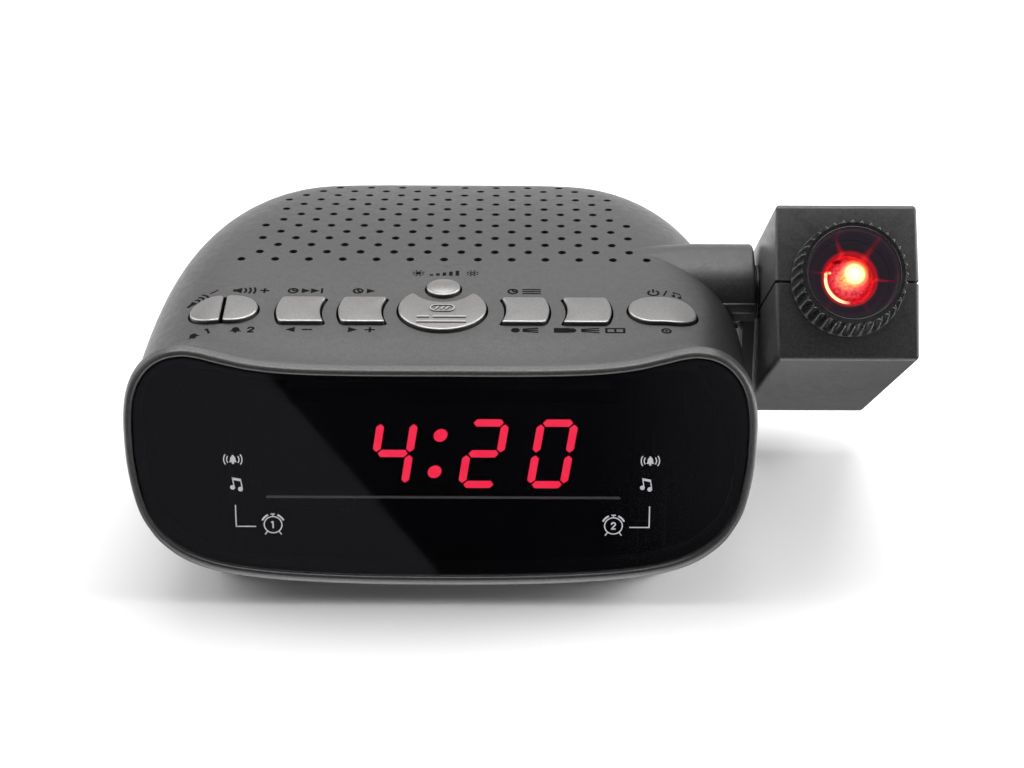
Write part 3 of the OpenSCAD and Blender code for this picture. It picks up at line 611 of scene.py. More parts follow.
# painted shade on the key walls and a painted highlight on their front bevels; the relief gets only the painted wall
# shade
shade_walls_and_paint_front_highlight(MAT["keys"], 2.7)
shade_walls_and_paint_front_highlight(MAT["relief"], 1.0)
MAT["ink"] = plastic("label_ink", (0.006, 0.006, 0.006), 0.9, spec=0.05, vary=0.2)
MAT["print"] = plastic("window_print", (0.62, 0.62, 0.65), 0.5, vary=0.04, grain_bump=0.02)
MAT["rubber"] = plastic("rubber", (0.02, 0.02, 0.02), 0.8, spec=0.3, grain=1500, grain_bump=0.3)
MAT["board"] = plastic("circuit_board", (0.02, 0.09, 0.035), 0.4)
MAT["steel"] = metal("plated_steel", (0.55, 0.55, 0.56), 0.35, 1.0)
MAT["screw"] = metal("screw_metal", (0.5, 0.5, 0.5), 0.3)
MAT["screw_dark"] = metal("blackened_screws", (0.05, 0.05, 0.055), 0.45)
MAT["cone"] = plastic("cone_paper", (0.02, 0.02, 0.02), 0.85, spec=0.2, grain=1200, grain_bump=0.5)
MAT["black"] = plastic("optics_black", (0.012, 0.012, 0.013), 0.4)
MAT["reflector"] = plastic("display_black", (0.006, 0.005, 0.005), 0.55, spec=0.2)
# painted highlight: a light strip behind the window that glows faintly, standing in for light caught along the display
# housing's lower edge
MAT["lip"] = plastic("display_lip_painted_highlight", (0.78, 0.75, 0.78), 0.4)
MAT["lip"].node_tree.nodes["Principled BSDF"].inputs["Emission Color"].default_value = (1.0, 0.93, 0.97, 1)
MAT["lip"].node_tree.nodes["Principled BSDF"].inputs["Emission Strength"].default_value = 0.2


def window_material():
    mt, nt, b = nodes_of("smoked_window")
    co = obj_coord(nt)
    c = ramp(nt, noise(nt, co, 14, 2), [(0.3, (0.0025, 0.0025, 0.0035)), (0.7, (0.0040, 0.0040, 0.0055))])
    nt.links.new(c, b.inputs["Base Color"])
    b.inputs["Roughness"].default_value = 0.03
    b.inputs["IOR"].default_value = 1.49
    b.inputs["Specular IOR Level"].default_value = 0.5
    b.inputs["Alpha"].default_value = 0.62
    bump(nt, b, noise(nt, co, 25, 1), 0.015, 0.0002)
    return mt


MAT["window"] = window_material()


def lit_material():
    """The lit segments: a light box behind a red film, with a slight random tone."""
    mt, nt, b = nodes_of("lit_segments")
    co = obj_coord(nt)
    c = ramp(nt, noise(nt, co, 260, 2), [(0.3, (1.0, 0.022, 0.075)), (0.7, (1.0, 0.034, 0.095))])
    b.inputs["Base Color"].default_value = (0.5, 0.02, 0.04, 1)
    b.inputs["Roughness"].default_value = 0.4
    nt.links.new(c, b.inputs["Emission Color"])
    b.inputs["Emission Strength"].default_value = 6.0
    return mt


MAT["lit"] = lit_material()


def glow_lens_material():
    """The lit projection lens, drawn in the lens's own coordinates (metres)."""
    mt, nt, b = nodes_of("projection_lens")
    co = obj_coord(nt)
    b.inputs["Base Color"].default_value = (0.25, 0.01, 0.015, 1)
    b.inputs["Roughness"].default_value = 0.04
    b.inputs["IOR"].default_value = 1.6
    b.inputs["Coat Weight"].default_value = 0.6

    def dist(cx, cy, sx=1.0, sy=1.0):
        sub = nt.nodes.new("ShaderNodeVectorMath")
        sub.operation = "SUBTRACT"
        nt.links.new(co, sub.inputs[0])
        sub.inputs[1].default_value = (cx / 1000, cy / 1000, 0)
        mul = nt.nodes.new("ShaderNodeVectorMath")
        mul.operation = "MULTIPLY"
        nt.links.new(sub.outputs[0], mul.inputs[0])
        mul.inputs[1].default_value = (1000 * sx, 1000 * sy, 0)
        ln = nt.nodes.new("ShaderNodeVectorMath")
        ln.operation = "LENGTH"
        nt.links.new(mul.outputs[0], ln.inputs[0])
        return ln.outputs["Value"]

    def scaled(v, k):
        n = nt.nodes.new("ShaderNodeMath")
        n.operation = "MULTIPLY"
        nt.links.new(v, n.inputs[0])
        n.inputs[1].default_value = k
        return n.outputs[0]

    disc = ramp(nt, scaled(dist(0, 0), 1 / 6.9), [(0.0, (1.0, 0.16, 0.17)), (0.45, (1.0, 0.10, 0.12)), (0.66, (0.85, 0.03, 0.05)), (0.76, (0.50, 0.004, 0.012)), (0.88, (0.95, 0.012, 0.02)), (1.0, (0.42, 0.0, 0.004))])
    pits = ramp(nt, noise(nt, co, 1500, 3, 0.6), [(0.36, (0.55, 0.45, 0.45)), (0.62, (1.15, 1.3, 1.25))])
    disc = mix_rgb(nt, "MULTIPLY", 1.0, disc, pits)
    hot = ramp(nt, scaled(dist(1.5, 1.5), 1 / 4.7), [(0.0, (1.3, 1.35, 1.0)), (0.48, (1.2, 1.1, 0.45)), (0.62, (0.9, 0.30, 0.05)), (0.78, (0.2, 0.02, 0.005)), (1.0, (0, 0, 0))])
    warm = ramp(nt, scaled(dist(-0.4, -0.2, 1.0, 1.1), 1 / 3.4), [(0.0, (0.8, 0.5, 0.05)), (0.6, (0.45, 0.22, 0.02)), (1.0, (0, 0, 0))])
    glow = mix_rgb(nt, "ADD", 1.0, hot, mix_rgb(nt, "MULTIPLY", 1.0, warm, pits))
    # crescent at the lower left, between two circles
    inner = ramp(nt, scaled(dist(0.40, 0.33), 1 / 5.95), [(0.95, (0, 0, 0)), (1.0, (1, 1, 1))])
    outer = ramp(nt, scaled(dist(0, 0), 1 / 6.2), [(0.955, (1, 1, 1)), (1.0, (0, 0, 0))])
    low = ramp(nt, scaled(dist(-4.6, -3.2), 1 / 6.2), [(0.55, (1, 1, 1)), (0.92, (0, 0, 0))])
    cres = mix_rgb(nt, "MULTIPLY", 1.0, mix_rgb(nt, "MULTIPLY", 1.0, inner, outer), mix_rgb(nt, "MULTIPLY", 1.0, low, (1.4, 1.25, 0.62, 1)))
    # dark notches in the upper rim
    dark1 = ramp(nt, scaled(dist(-2.9, 4.6, 0.75, 1.5), 1 / 1.1), [(0.45, (0.12, 0.1, 0.1)), (1.0, (1, 1, 1))])
    dark2 = ramp(nt, scaled(dist(5.3, 1.9, 1.6, 0.7), 1 / 1.2), [(0.4, (0.35, 0.3, 0.3)), (1.0, (1, 1, 1))])
    col = mix_rgb(nt, "MULTIPLY", 1.0, mix_rgb(nt, "MULTIPLY", 1.0, disc, dark1), dark2)
    col = mix_rgb(nt, "ADD", 1.0, mix_rgb(nt, "ADD", 1.0, col, glow), cres)
    for dx, dy, dr in ((-5.75, 1.55, 0.55), (-4.75, 1.75, 0.45)):
        dot = ramp(nt, scaled(dist(dx, dy), 1 / dr), [(0.35, (1.2, 0.85, 0.35)), (1.0, (0, 0, 0))])
        col = mix_rgb(nt, "ADD", 1.0, col, dot)
    nt.links.new(col, b.inputs["Emission Color"])
    b.inputs["Emission Strength"].default_value = 1.0
    return mt


MAT["lens"] = glow_lens_material()


def painted_flare_material():
    """Dark glossy funnel round the lens with painted light: red flare streaks, a halo and a rim ring drawn as emission
    over a faint purple-grey glow.
    """
    mt, nt, b = nodes_of("lens_funnel_painted_glow")
    co = obj_coord(nt)
    sep = nt.nodes.new("ShaderNodeSeparateXYZ")
    nt.links.new(co, sep.inputs[0])
    b.inputs["Base Color"].default_value = (0.014, 0.011, 0.015, 1)
    b.inputs["Roughness"].default_value = 0.5
    b.inputs["Specular IOR Level"].default_value = 0.2

    def math_node(op, a, c=None):
        n = nt.nodes.new("ShaderNodeMath")
        n.operation = op
        for s, v in ((n.inputs[0], a), (n.inputs[1], c)):
            if v is None:
                continue
            if hasattr(v, "is_output"):
                nt.links.new(v, s)
            else:
                s.default_value = v
        return n.outputs[0]

    x = math_node("MULTIPLY", sep.outputs[0], 1000.0)
    y = math_node("MULTIPLY", sep.outputs[1], 1000.0)
    painted_flare = None
    # painted flare: each streak is a red glow drawn across the funnel
    for ang, wid, gain, reach in ((107, 1.5, 0.75, 13.5), (54, 1.9, 0.62, 14.5), (168, 0.7, 0.5, 12.5), (-2, 0.8, 0.85, 13.5), (-60, 1.3, 0.22, 12), (-128, 1.8, 0.2, 12)):
        c, s = math.cos(rad(ang)), math.sin(rad(ang))
        along = math_node("ADD", math_node("MULTIPLY", x, c), math_node("MULTIPLY", y, s))
        across = math_node("ABSOLUTE", math_node("ADD", math_node("MULTIPLY", x, -s), math_node("MULTIPLY", y, c)))
        fall = math_node("MAXIMUM", math_node("SUBTRACT", 1.0, math_node("DIVIDE", along, reach)), 0.0)
        ahead = math_node("MINIMUM", math_node("MAXIMUM", math_node("MULTIPLY", along, 0.4), 0.0), 1.0)
        width = math_node("MULTIPLY", math_node("POWER", fall, 0.6), wid)
        line = math_node("MAXIMUM", math_node("SUBTRACT", 1.0, math_node("DIVIDE", across, math_node("ADD", width, 0.05))), 0.0)
        val = math_node("MULTIPLY", math_node("MULTIPLY", line, ahead), math_node("MULTIPLY", fall, gain))
        painted_flare = val if painted_flare is None else math_node("ADD", painted_flare, val)
    r = math_node("SQRT", math_node("ADD", math_node("MULTIPLY", x, x), math_node("MULTIPLY", y, y)))
    painted_halo = math_node("MULTIPLY", math_node("POWER", math_node("MAXIMUM", math_node("SUBTRACT", 1.0, math_node("DIVIDE", r, 10.5)), 0.0), 3.0), 0.7)
    rim = math_node("MULTIPLY", math_node("MAXIMUM", math_node("SUBTRACT", 1.0, math_node("DIVIDE", math_node("ABSOLUTE", math_node("SUBTRACT", r, 6.5)), 0.9)), 0.0), 0.45)
    painted_flare = math_node("ADD", math_node("ADD", painted_flare, painted_halo), rim)
    # painted glow: faint purple-grey where no streak falls, red along the streaks, halo and rim ring
    col = ramp(nt, painted_flare, [(0.0, (0.019, 0.014, 0.020)), (0.12, (0.066, 0.012, 0.020)), (0.5, (0.5, 0.006, 0.012)), (1.0, (1.0, 0.03, 0.04))])
    nt.links.new(col, b.inputs["Emission Color"])
    b.inputs["Emission Strength"].default_value = 0.9
    bump(nt, b, noise(nt, co, 1200, 2), 0.05, 0.00005)
    return mt


MAT["funnel"] = painted_flare_material()


def paint_crest_highlight(mt, radius, drop_per_mm, w0):
    """Painted highlight: lighter crests between the flutes of the ring, added to the base colour to stand in for light
    caught on the crests.
    """
    nt = mt.node_tree
    b = nt.nodes["Principled BSDF"]
    src = b.inputs["Base Color"].links[0].from_socket
    sep = nt.nodes.new("ShaderNodeSeparateXYZ")
    nt.links.new(obj_coord(nt), sep.inputs[0])

    def calc(op, a, c):
        n = nt.nodes.new("ShaderNodeMath")
        n.operation = op
        for sock, v in ((n.inputs[0], a), (n.inputs[1], c)):
            if hasattr(v, "is_output"):
                nt.links.new(v, sock)
            else:
                sock.default_value = v
        return n.outputs[0]

    x, y, w = (calc("MULTIPLY", sep.outputs[k], 1000.0) for k in range(3))
    r = calc("POWER", calc("ADD", calc("MULTIPLY", x, x), calc("MULTIPLY", y, y)), 0.5)
    over = calc("ADD", calc("SUBTRACT", r, radius), calc("MULTIPLY", calc("MAXIMUM", calc("SUBTRACT", w, w0), 0.0), drop_per_mm))
    crest = ramp(nt, calc("ADD", over, 0.5), [(0.36, (0, 0, 0)), (0.47, (1, 1, 1))])
    along = ramp(nt, calc("MULTIPLY", w, 0.1), [(0.15, (0, 0, 0)), (0.22, (1, 1, 1))])
    # painted highlight: the crest mask within the fluted band of the ring
    painted_crest_highlight = mix_rgb(nt, "MULTIPLY", 1.0, crest, along)
    nt.links.new(mix_rgb(nt, "ADD", 1.0, src, mix_rgb(nt, "MULTIPLY", 1.0, painted_crest_highlight, (0.10, 0.10, 0.105, 1))), b.inputs["Base Color"])
    return mt


MAT["knurl"] = paint("knurl_black", 0.008, 0.015, 0.30, 0.0, spec=0.42, grain=1500, grain_bump=0.03)
paint_crest_highlight(MAT["knurl"], 14.4, 0.0891, 1.2)


def glass_material():
    mt, nt, b = nodes_of("clear_optics")
    co = obj_coord(nt)
    c = ramp(nt, noise(nt, co, 100, 2), [(0.3, (0.80, 0.86, 0.84)), (0.7, (0.88, 0.92, 0.90))])
    nt.links.new(c, b.inputs["Base Color"])
    b.inputs["Roughness"].default_value = 0.05
    b.inputs["Alpha"].default_value = 0.45
    return mt


MAT["glass"] = glass_material()


def dress(ob, mat, body=None, node=None, angle=None):
    ob.data.materials.clear()
    ob.data.materials.append(MAT[mat])
    if angle is not None:
        smooth(ob, angle)
    if body:
        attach(ob, body)
    if node:
        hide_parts(*([node] if isinstance(node, str) else node))
    return ob


# ---------------------------------------------------------------- body shells
def body_object(name, t, ext, dense):
    v, f = body_solid(t, ext, *((4, 4, 6, 16, 60) if dense else (1, 1, 1, 5, 16)))
    ob = new_object(name, v, f)
    clean_normals(ob)
    return ob


outer = body_object("outer_form", 0, False, True)
outer_bvh = BVHTree.FromPolygons([v.co[:] for v in outer.data.vertices], [p.vertices[:] for p in outer.data.polygons])


def form_normals(ob):
    """Gives the faces that lie on the body's outer form the form's own smooth normals."""
    src, me = outer.data, ob.data
    out = [(0.0, 0.0, 0.0)] * len(me.loops)
    for poly in me.polygons:
        near = outer_bvh.find_nearest(poly.center, 0.0001)
        if near[0] is None or near[1].dot(poly.normal) < 0.93:
            continue
        for li in poly.loop_indices:
            co = me.vertices[me.loops[li].vertex_index].co
            loc, nrm, idx, _ = outer_bvh.find_nearest(co)
            ring = src.polygons[idx].vertices
            if len(ring) > 6:
                continue
            ws = poly_3d_calc([src.vertices[i].co for i in ring], loc)
            n = Vector((0, 0, 0))
            for i, w in zip(ring, ws):
                n += src.vertices[i].normal * w
            if n.length > 0.5 and n.dot(poly.normal) > 0.7:
                out[li] = tuple(n.normalized())
    me.normals_split_custom_set(out)


def surf_z(x, y):
    """Height of the body's top at (x, y), in mm."""
    a, b, _ = mm((x, y, 0))
    hit = outer_bvh.ray_cast(Vector((a, b, 0.2)), Vector((0, 0, -1)))
    return hit[0].z * 1000 if hit[0] is not None else top_z(y)


def drop(x, y):
    """How far the body's top lies below the deck plane at deck coordinates (x, y)."""
    px, py, pz = deck_xyz((x, y, 0))
    return min(0.0, surf_z(px, py) - pz)


KEY_HY = 6.55
GAP = 0.5
PILL_Y = 0.5


def bow_key(x0, x1, g=0.0, flip=False):
    if flip:
        return [(-p[0], p[1]) for p in bow_key(-x1, -x0, g)][::-1]
    s, hy = 1.3, KEY_HY + g
    R = (KEY_HY ** 2 + s * s) / (2 * s)
    n = 14
    a = [(x0 + R - math.sqrt((R + g) ** 2 - y * y), y) for y in np.linspace(hy, -hy, n)]
    b = [(x1 - s + R - math.sqrt(max((R - g) ** 2 - y * y, 0)), y) for y in np.linspace(-hy, hy, n)]
    return a + b


def pill(x0, x1, g=0.0):
    r = KEY_HY + g
    cx0, cx1 = x0 + KEY_HY, x1 - KEY_HY
    L = [(cx0 + r * math.cos(a), PILL_Y + r * math.sin(a)) for a in np.linspace(math.pi / 2, 3 * math.pi / 2, 41)]
    R = [(cx1 + r * math.cos(a), PILL_Y + r * math.sin(a)) for a in np.linspace(-math.pi / 2, math.pi / 2, 41)]
    return L + R


SNX, SNY, SNR, DIMY, DIMR, BITE = -0.13, 0.7, 11.3, 12.0, 4.4, 8.1


def snooze_loop(g=0.0):
    R, r = SNR + g, BITE - g
    d = DIMY - SNY
    a = (R * R - r * r + d * d) / (2 * d)
    h = math.sqrt(R * R - a * a)
    a0 = math.atan2(a, h)
    big = [(SNX + R * math.cos(t), SNY + R * math.sin(t)) for t in np.linspace(math.pi - a0, 2 * math.pi + a0, 96)]
    b0 = math.atan2(a - d, h)
    small = [(SNX + r * math.cos(t), DIMY + r * math.sin(t)) for t in np.linspace(b0, -math.pi - b0, 40)][1:-1]
    return big + small


ALARM = (-64.9, -47.4)
ALARM_CUT, CUT_W = -56.3, 0.4
FUNC = (47.5, 65.1)
HOUR, MINUTE, TIME, PROJ = (-42.7, -30.1), (-26.8, -14.4), (14.9, 27.3), (30.6, 43.2)
KEYS = {
    "button_hour": bow_key(*HOUR), "button_minute": bow_key(*MINUTE),
    "button_time": bow_key(*TIME, flip=True), "button_projection": bow_key(*PROJ, flip=True),
}
apertures = [round_corners(a, 1.2 + GAP, 0.9) for a in (
    bow_key(*HOUR, GAP), bow_key(*MINUTE, GAP), bow_key(*TIME, GAP, True), bow_key(*PROJ, GAP, True))]
apertures += [resample(a, 0.4) for a in (pill(*ALARM, GAP), pill(*FUNC, GAP), circle(SNX, DIMY, DIMR + GAP, 96))]
counts = [13, 12, 11, 12, 11, 12, 11, 10, 11, 10, 11, 10, 9, 8]
hole_xy = [(-0.45 + (k - (c - 1) / 2) * 9, i * 4.5) for i, c in enumerate(counts) for k in range(c)]


def boss_solid(name, x1, r, soft):
    """Half-round boss along X: it swells out of the body's top and has a rounded end edge."""
    n = 64
    prof = [(48, 0.9), (57, 0.45), (66, 0.0), (x1 - soft, 0.0), (x1 - soft * 0.62, soft * 0.08), (x1 - soft * 0.29, soft * 0.29), (x1 - soft * 0.08, soft * 0.62), (x1, soft)]
    v, f = [], []
    for x, d in prof:
        v += [(x, (r - d) * math.cos(a), (r - d) * math.sin(a)) for a in np.linspace(0, math.pi, n + 1)]
    k = n + 1
    for q in range(len(prof) - 1):
        for i in range(k):
            f.append((q * k + i, (q + 1) * k + i, (q + 1) * k + (i + 1) % k, q * k + (i + 1) % k))
    f.append(tuple(range(k)))
    f.append(tuple(range((len(prof) - 1) * k + k - 1, (len(prof) - 1) * k - 1, -1)))
    ob = new_object(name, v, f, on_axis)
    clean_normals(ob)
    return ob


def x_bar(name, loop, x0, x1, soft):
    """Bar along X with the given (y, z) outline and a softened right end."""
    if area2(loop) < 0:
        loop = loop[::-1]
    n = len(loop)
    v, f = [], []
    ends = [(x0, 0.0), (x1 - soft, 0.0), (x1 - soft * 0.3, soft * 0.3), (x1, soft)]
    for x, d in ends:
        v += [(x, q[0], q[1]) for q in offset_loop(loop, -d)]
    for k in range(len(ends) - 1):
        for i in range(n):
            f.append((k * n + i, k * n + (i + 1) % n, (k + 1) * n + (i + 1) % n, (k + 1) * n + i))
    f.append(tuple(range(n)))
    f.append(tuple(range(len(ends) * n - 1, (len(ends) - 1) * n - 1, -1)))
    ob = new_object(name, v, f, on_axis)
    clean_normals(ob)
    return ob


def copy_of(ob, name):
    c = bpy.data.objects.new(name, ob.data.copy())
    scene.collection.objects.link(c)
    return c


top = copy_of(outer, "case_top")
boss = boss_solid("t1", BOSS_X, BOSS_R, 0.9)
boolean(boss, [box_solid("b1", (66, -12.6, -3.15), (BOSS_X - 0.02, 12.6, 0.05), on_axis)], "UNION")
for side in (-1, 1):
    bar = round_corners([(side * 9.5, -0.9), (side * 13.32, -0.9), (side * 13.32, 2.2), (side * 9.5, 2.2)], 0.75)
    boolean(boss, [x_bar("b2", bar, 66, BOSS_X - 0.04, 0.5)], "UNION")
boolean(top, [boss], "UNION")
boolean(top, [body_object("t2", 2.2, True, False)])
boolean(top, [box_solid("t3", (-110, -90, 30.1), (110, 100, 90))], "INTERSECT")
cut = merged_prisms("t4", [circle(x, y, 1.1, 20) for x, y in hole_xy], 56, 80, mm)
cut2 = merged_prisms("t5", apertures, -6, 8, on_deck)
cut3 = prism("s0", circle(SNX, SNY, SNR + GAP, 120), -6, 8, on_deck)
boolean(cut3, [prism("s9", circle(SNX, DIMY, BITE - GAP, 96), -8, 10, on_deck)])


def x_cyl(name, x0, x1, r, n=64, place=on_axis):
    loop = circle(0, 0, r, n)
    v = [(x0, p[0], p[1]) for p in loop] + [(x1, p[0], p[1]) for p in loop]
    f = [tuple(range(n - 1, -1, -1)), tuple(range(n, 2 * n))]
    f += [(i, (i + 1) % n, n + (i + 1) % n, n + i) for i in range(n)]
    ob = new_object(name, v, f, place)
    clean_normals(ob)
    return ob


boolean(top, [cut, cut2, cut3, x_cyl("t6", 50, 78.8, 10.6), x_cyl("t7", 70, 95, NECK_R + 0.05),
              box_solid("t8", (50, -10.6, -13), (78.8, 10.6, 0), on_axis), box_solid("t9", (78.5, -NECK_R - 0.05, -30), (90, NECK_R + 0.05, 0), on_axis)])
dress(top, "case", "clock_body", "top_shell", 30)
form_normals(top)

bottom = copy_of(outer, "case_bottom")
half = [(0, -57.5), (14, -57.2), (28, -56), (40, -53.9), (48, -52), (54, -50.3), (58, -48.6), (62, -44.5), (64, -40), (63, -32), (58, -22), (48, -13)]
plinth = half + [(-p[0], p[1]) for p in half[:0:-1]]
for _ in range(2):
    plinth = [(a[0] + (b[0] - a[0]) * k, a[1] + (b[1] - a[1]) * k) for a, b in zip(plinth, plinth[1:] + plinth[:1]) for k in (0.25, 0.75)]
boolean(bottom, [cap_mesh("plinth", plinth, [(-0.35, ZB), (-0.1, ZB + 0.1), (0, ZB + 0.35), (0, ZB + 3.6)], 0, mm, shrink=())], "UNION")
boolean(bottom, [body_object("t2", 2.2, True, False)])
boolean(bottom, [box_solid("t3", (-110, -90, -5), (110, 100, 29.75))], "INTERSECT")
ped_loop = [(66, 14 - AX_Z), (BOSS_X - 12, 14 - AX_Z), (BOSS_X, 26 - AX_Z), (BOSS_X, -3.3), (66, -3.3)]


def side_prism(name, loop, y0, y1, place=on_axis):
    n = len(loop)
    v = [(p[0], y0, p[1]) for p in loop] + [(p[0], y1, p[1]) for p in loop]
    f = [tuple(range(n)), tuple(range(2 * n - 1, n - 1, -1))]
    f += [(i, n + i, n + (i + 1) % n, (i + 1) % n) for i in range(n)]
    ob = new_object(name, v, f, place)
    clean_normals(ob)
    return ob


ped = side_prism("p1", ped_loop, -12.2, 12.2)
boolean(ped, [box_solid("p2", (60, -20, 29.85 - AX_Z), (79.35, 20, 60), on_axis)])
boolean(bottom, [ped], "UNION")
bat_x, bat_y, bat_w, bat_l = 14, 18, 52, 25
post_xy = [(54, -46), (-54, -46), (22, 62), (-22, 62)]
bay = box_solid("p4", (bat_x - bat_w / 2 - 1.6, bat_y - bat_l / 2 - 1.6, 4), (bat_x + bat_w / 2 + 1.6, bat_y + bat_l / 2 + 1.6, 17.6))
boolean(bay, [box_solid("p5", (bat_x - bat_w / 2, bat_y - bat_l / 2, 3), (bat_x + bat_w / 2, bat_y + bat_l / 2, 16))])
boolean(bottom, [bay], "UNION")
posts = merged_prisms("p6", [circle(*p, 3.6, 32) for p in post_xy], 6.2, 29.7, mm)
boolean(bottom, [posts], "UNION")


def y_cyl(name, cx, cz, y0, y1, r, n=40):
    gl = circle(0, 0, r, n)
    ob = new_object(name, [(cx + p[0], y0, cz + p[1]) for p in gl] + [(cx + p[0], y1, cz + p[1]) for p in gl],
                    [tuple(range(n)), tuple(range(2 * n - 1, n - 1, -1))] + [(i, n + i, n + (i + 1) % n, (i + 1) % n) for i in range(n)])
    clean_normals(ob)
    return ob


boolean(bottom, [
    x_cyl("q1", 70, 95, NECK_R + 0.05),
    merged_prisms("q9", [circle(*p, 5.0, 48) for p in ((38, -45), (-38, -45), (37, 55), (-37, 55))], -1, 3.2, mm),
    merged_prisms("q3", [circle(*p, 1.6, 24) for p in post_xy], -1, 40, mm),
    merged_prisms("q4", [circle(*p, 2.9, 32) for p in post_xy], -1, 9, mm),
    box_solid("q5", (bat_x - bat_w / 2, bat_y - bat_l / 2, -1), (bat_x + bat_w / 2, bat_y + bat_l / 2, 7)),
    box_solid("q6", (bat_x - bat_w / 2 - 1, bat_y - bat_l / 2 - 1, -1), (bat_x + bat_w / 2 + 1, bat_y + bat_l / 2 + 10, 4.2)),
    y_cyl("p7", -30, 16, 60, 100, 3.5), y_cyl("p8", -30, 16, 80.4, 100, 4.85), y_cyl("p9", -30, 16, 68.4, 75.4, 4.85),
    merged_prisms("q8", [[(x, -14), (x + 2, -14), (x + 2, 12), (x, 12)] for x in (-45.5, -39.5, -33.5, -27.5)], 0, 10, mm)])
dress(bottom, "base", "clock_body", "bottom_shell", 30)
form_normals(bottom)
bpy.data.objects.remove(outer)


# ---------------------------------------------------------------- bezel and window
def full_outline(off, per=7):
    js = [i / per for i in range((JN - 1) * per + 1)]
    h = []
    for j in js:
        p, n = outline(j)
        h.append(p + off * n)
    return [tuple(p) for p in h] + [(-p[0], p[1]) for p in h[-2:0:-1]]


def sweep_ring(name, prof, place):
    v, f = [], []
    base = full_outline(0)
    for off, w in prof:
        for p, q in zip(full_outline(off), base):
            low = max(0.0, min(1.0, (-(p[1] - q[1]) / max(off, 0.01) - 0.55) / 0.4)) if off > 0.9 else 0.0
            k = 1 + (0.9 / RING) * low * min(1.0, (off - 0.9) / (RING - 0.9))
            v.append((q[0] + (p[0] - q[0]) * k, q[1] + (p[1] - q[1]) * k, w))
    m = len(v) // len(prof)
    n = len(prof)
    for k in range(n):
        for i in range(m):
            f.append((k * m + i, k * m + (i + 1) % m, ((k + 1) % n) * m + (i + 1) % m, ((k + 1) % n) * m + i))
    ob = new_object(name, v, f, place)
    clean_normals(ob)
    return ob


ring_prof = [(RING, CREASE + 0.06)]
for a in range(10, 91, 10):
    ring_prof.append((0.78 + (RING - 0.78) * math.cos(rad(a)), CREASE + 0.1 + (0.42 - CREASE - 0.1) * math.sin(rad(a))))
ring_prof += [(0.6, 0.40), (0.36, 0.30), (0.2, 0.12), (0.12, -0.12), (0.12, -2.05), (-2.3, -2.05), (-2.3, -4.5), (-1.5, -4.5), (-1.5, CREASE + 0.06)]
bezel = sweep_ring("bezel_ring", ring_prof, on_face)
dress(bezel, "ring", "clock_body", "front_bezel", 40)

win_loop = full_outline(0)
win = cap_mesh("window_pane", win_loop, [(-0.15, -2.0), (0, -1.85), (0, -0.18), (-0.05, -0.06), (-0.18, 0.0), (-0.5, 0.0)], 0, on_face, shrink=())
dress(win, "window", "clock_body", "display_window", 30)

# ---------------------------------------------------------------- keys
r_key, top_key = 0.5, 1.0
key_prof = [(0, -3.0), (0, top_key - r_key)] + [(-r_key * (1 - math.cos(rad(a))), top_key - r_key * (1 - math.sin(rad(a)))) for a in (15, 30, 45, 60, 75, 90)] + [(-r_key - 0.12, top_key)]


def make_key(name, loop, dome=0.12, follow=False, flat=False):
    loop = resample(round_corners(loop, 1.2, 1.1 if flat else 0.75), 0.3)
    ob = cap_mesh(name + "_cap", loop, key_prof[:-1] if flat else key_prof, dome, None, shrink=() if flat else (0.9, 0.7, 0.4))
    for v in ob.data.vertices:
        x, y, z = v.co
        if follow and z > -1:
            z += drop(x, y)
        v.co = on_deck((x, y, z))
    clean_normals(ob)
    dress(ob, "keys", name, name, 50)
    return ob


for name, loop in KEYS.items():
    make_key(name, loop)
make_key("button_snooze", snooze_loop(), flat=True)
make_key("button_dimmer", circle(SNX, DIMY, DIMR, 72), dome=0.35)
full_pill = pill(*ALARM)


def clip_x(loop, x, keep_low):
    out = []
    m = len(loop)
    for i in range(m):
        a, b = loop[i], loop[(i + 1) % m]
        ia, ib = (a[0] <= x) == keep_low, (b[0] <= x) == keep_low
        if ia:
            out.append(a)
        if ia != ib:
            s = (x - a[0]) / (b[0] - a[0])
            out.append((x, a[1] + s * (b[1] - a[1])))
    return out


make_key("button_alarm_1", clip_x(full_pill, ALARM_CUT - CUT_W, True), follow=True)
make_key("button_alarm_2", clip_x(full_pill, ALARM_CUT + CUT_W, False), follow=True)
make_key("button_function", pill(*FUNC), follow=True)


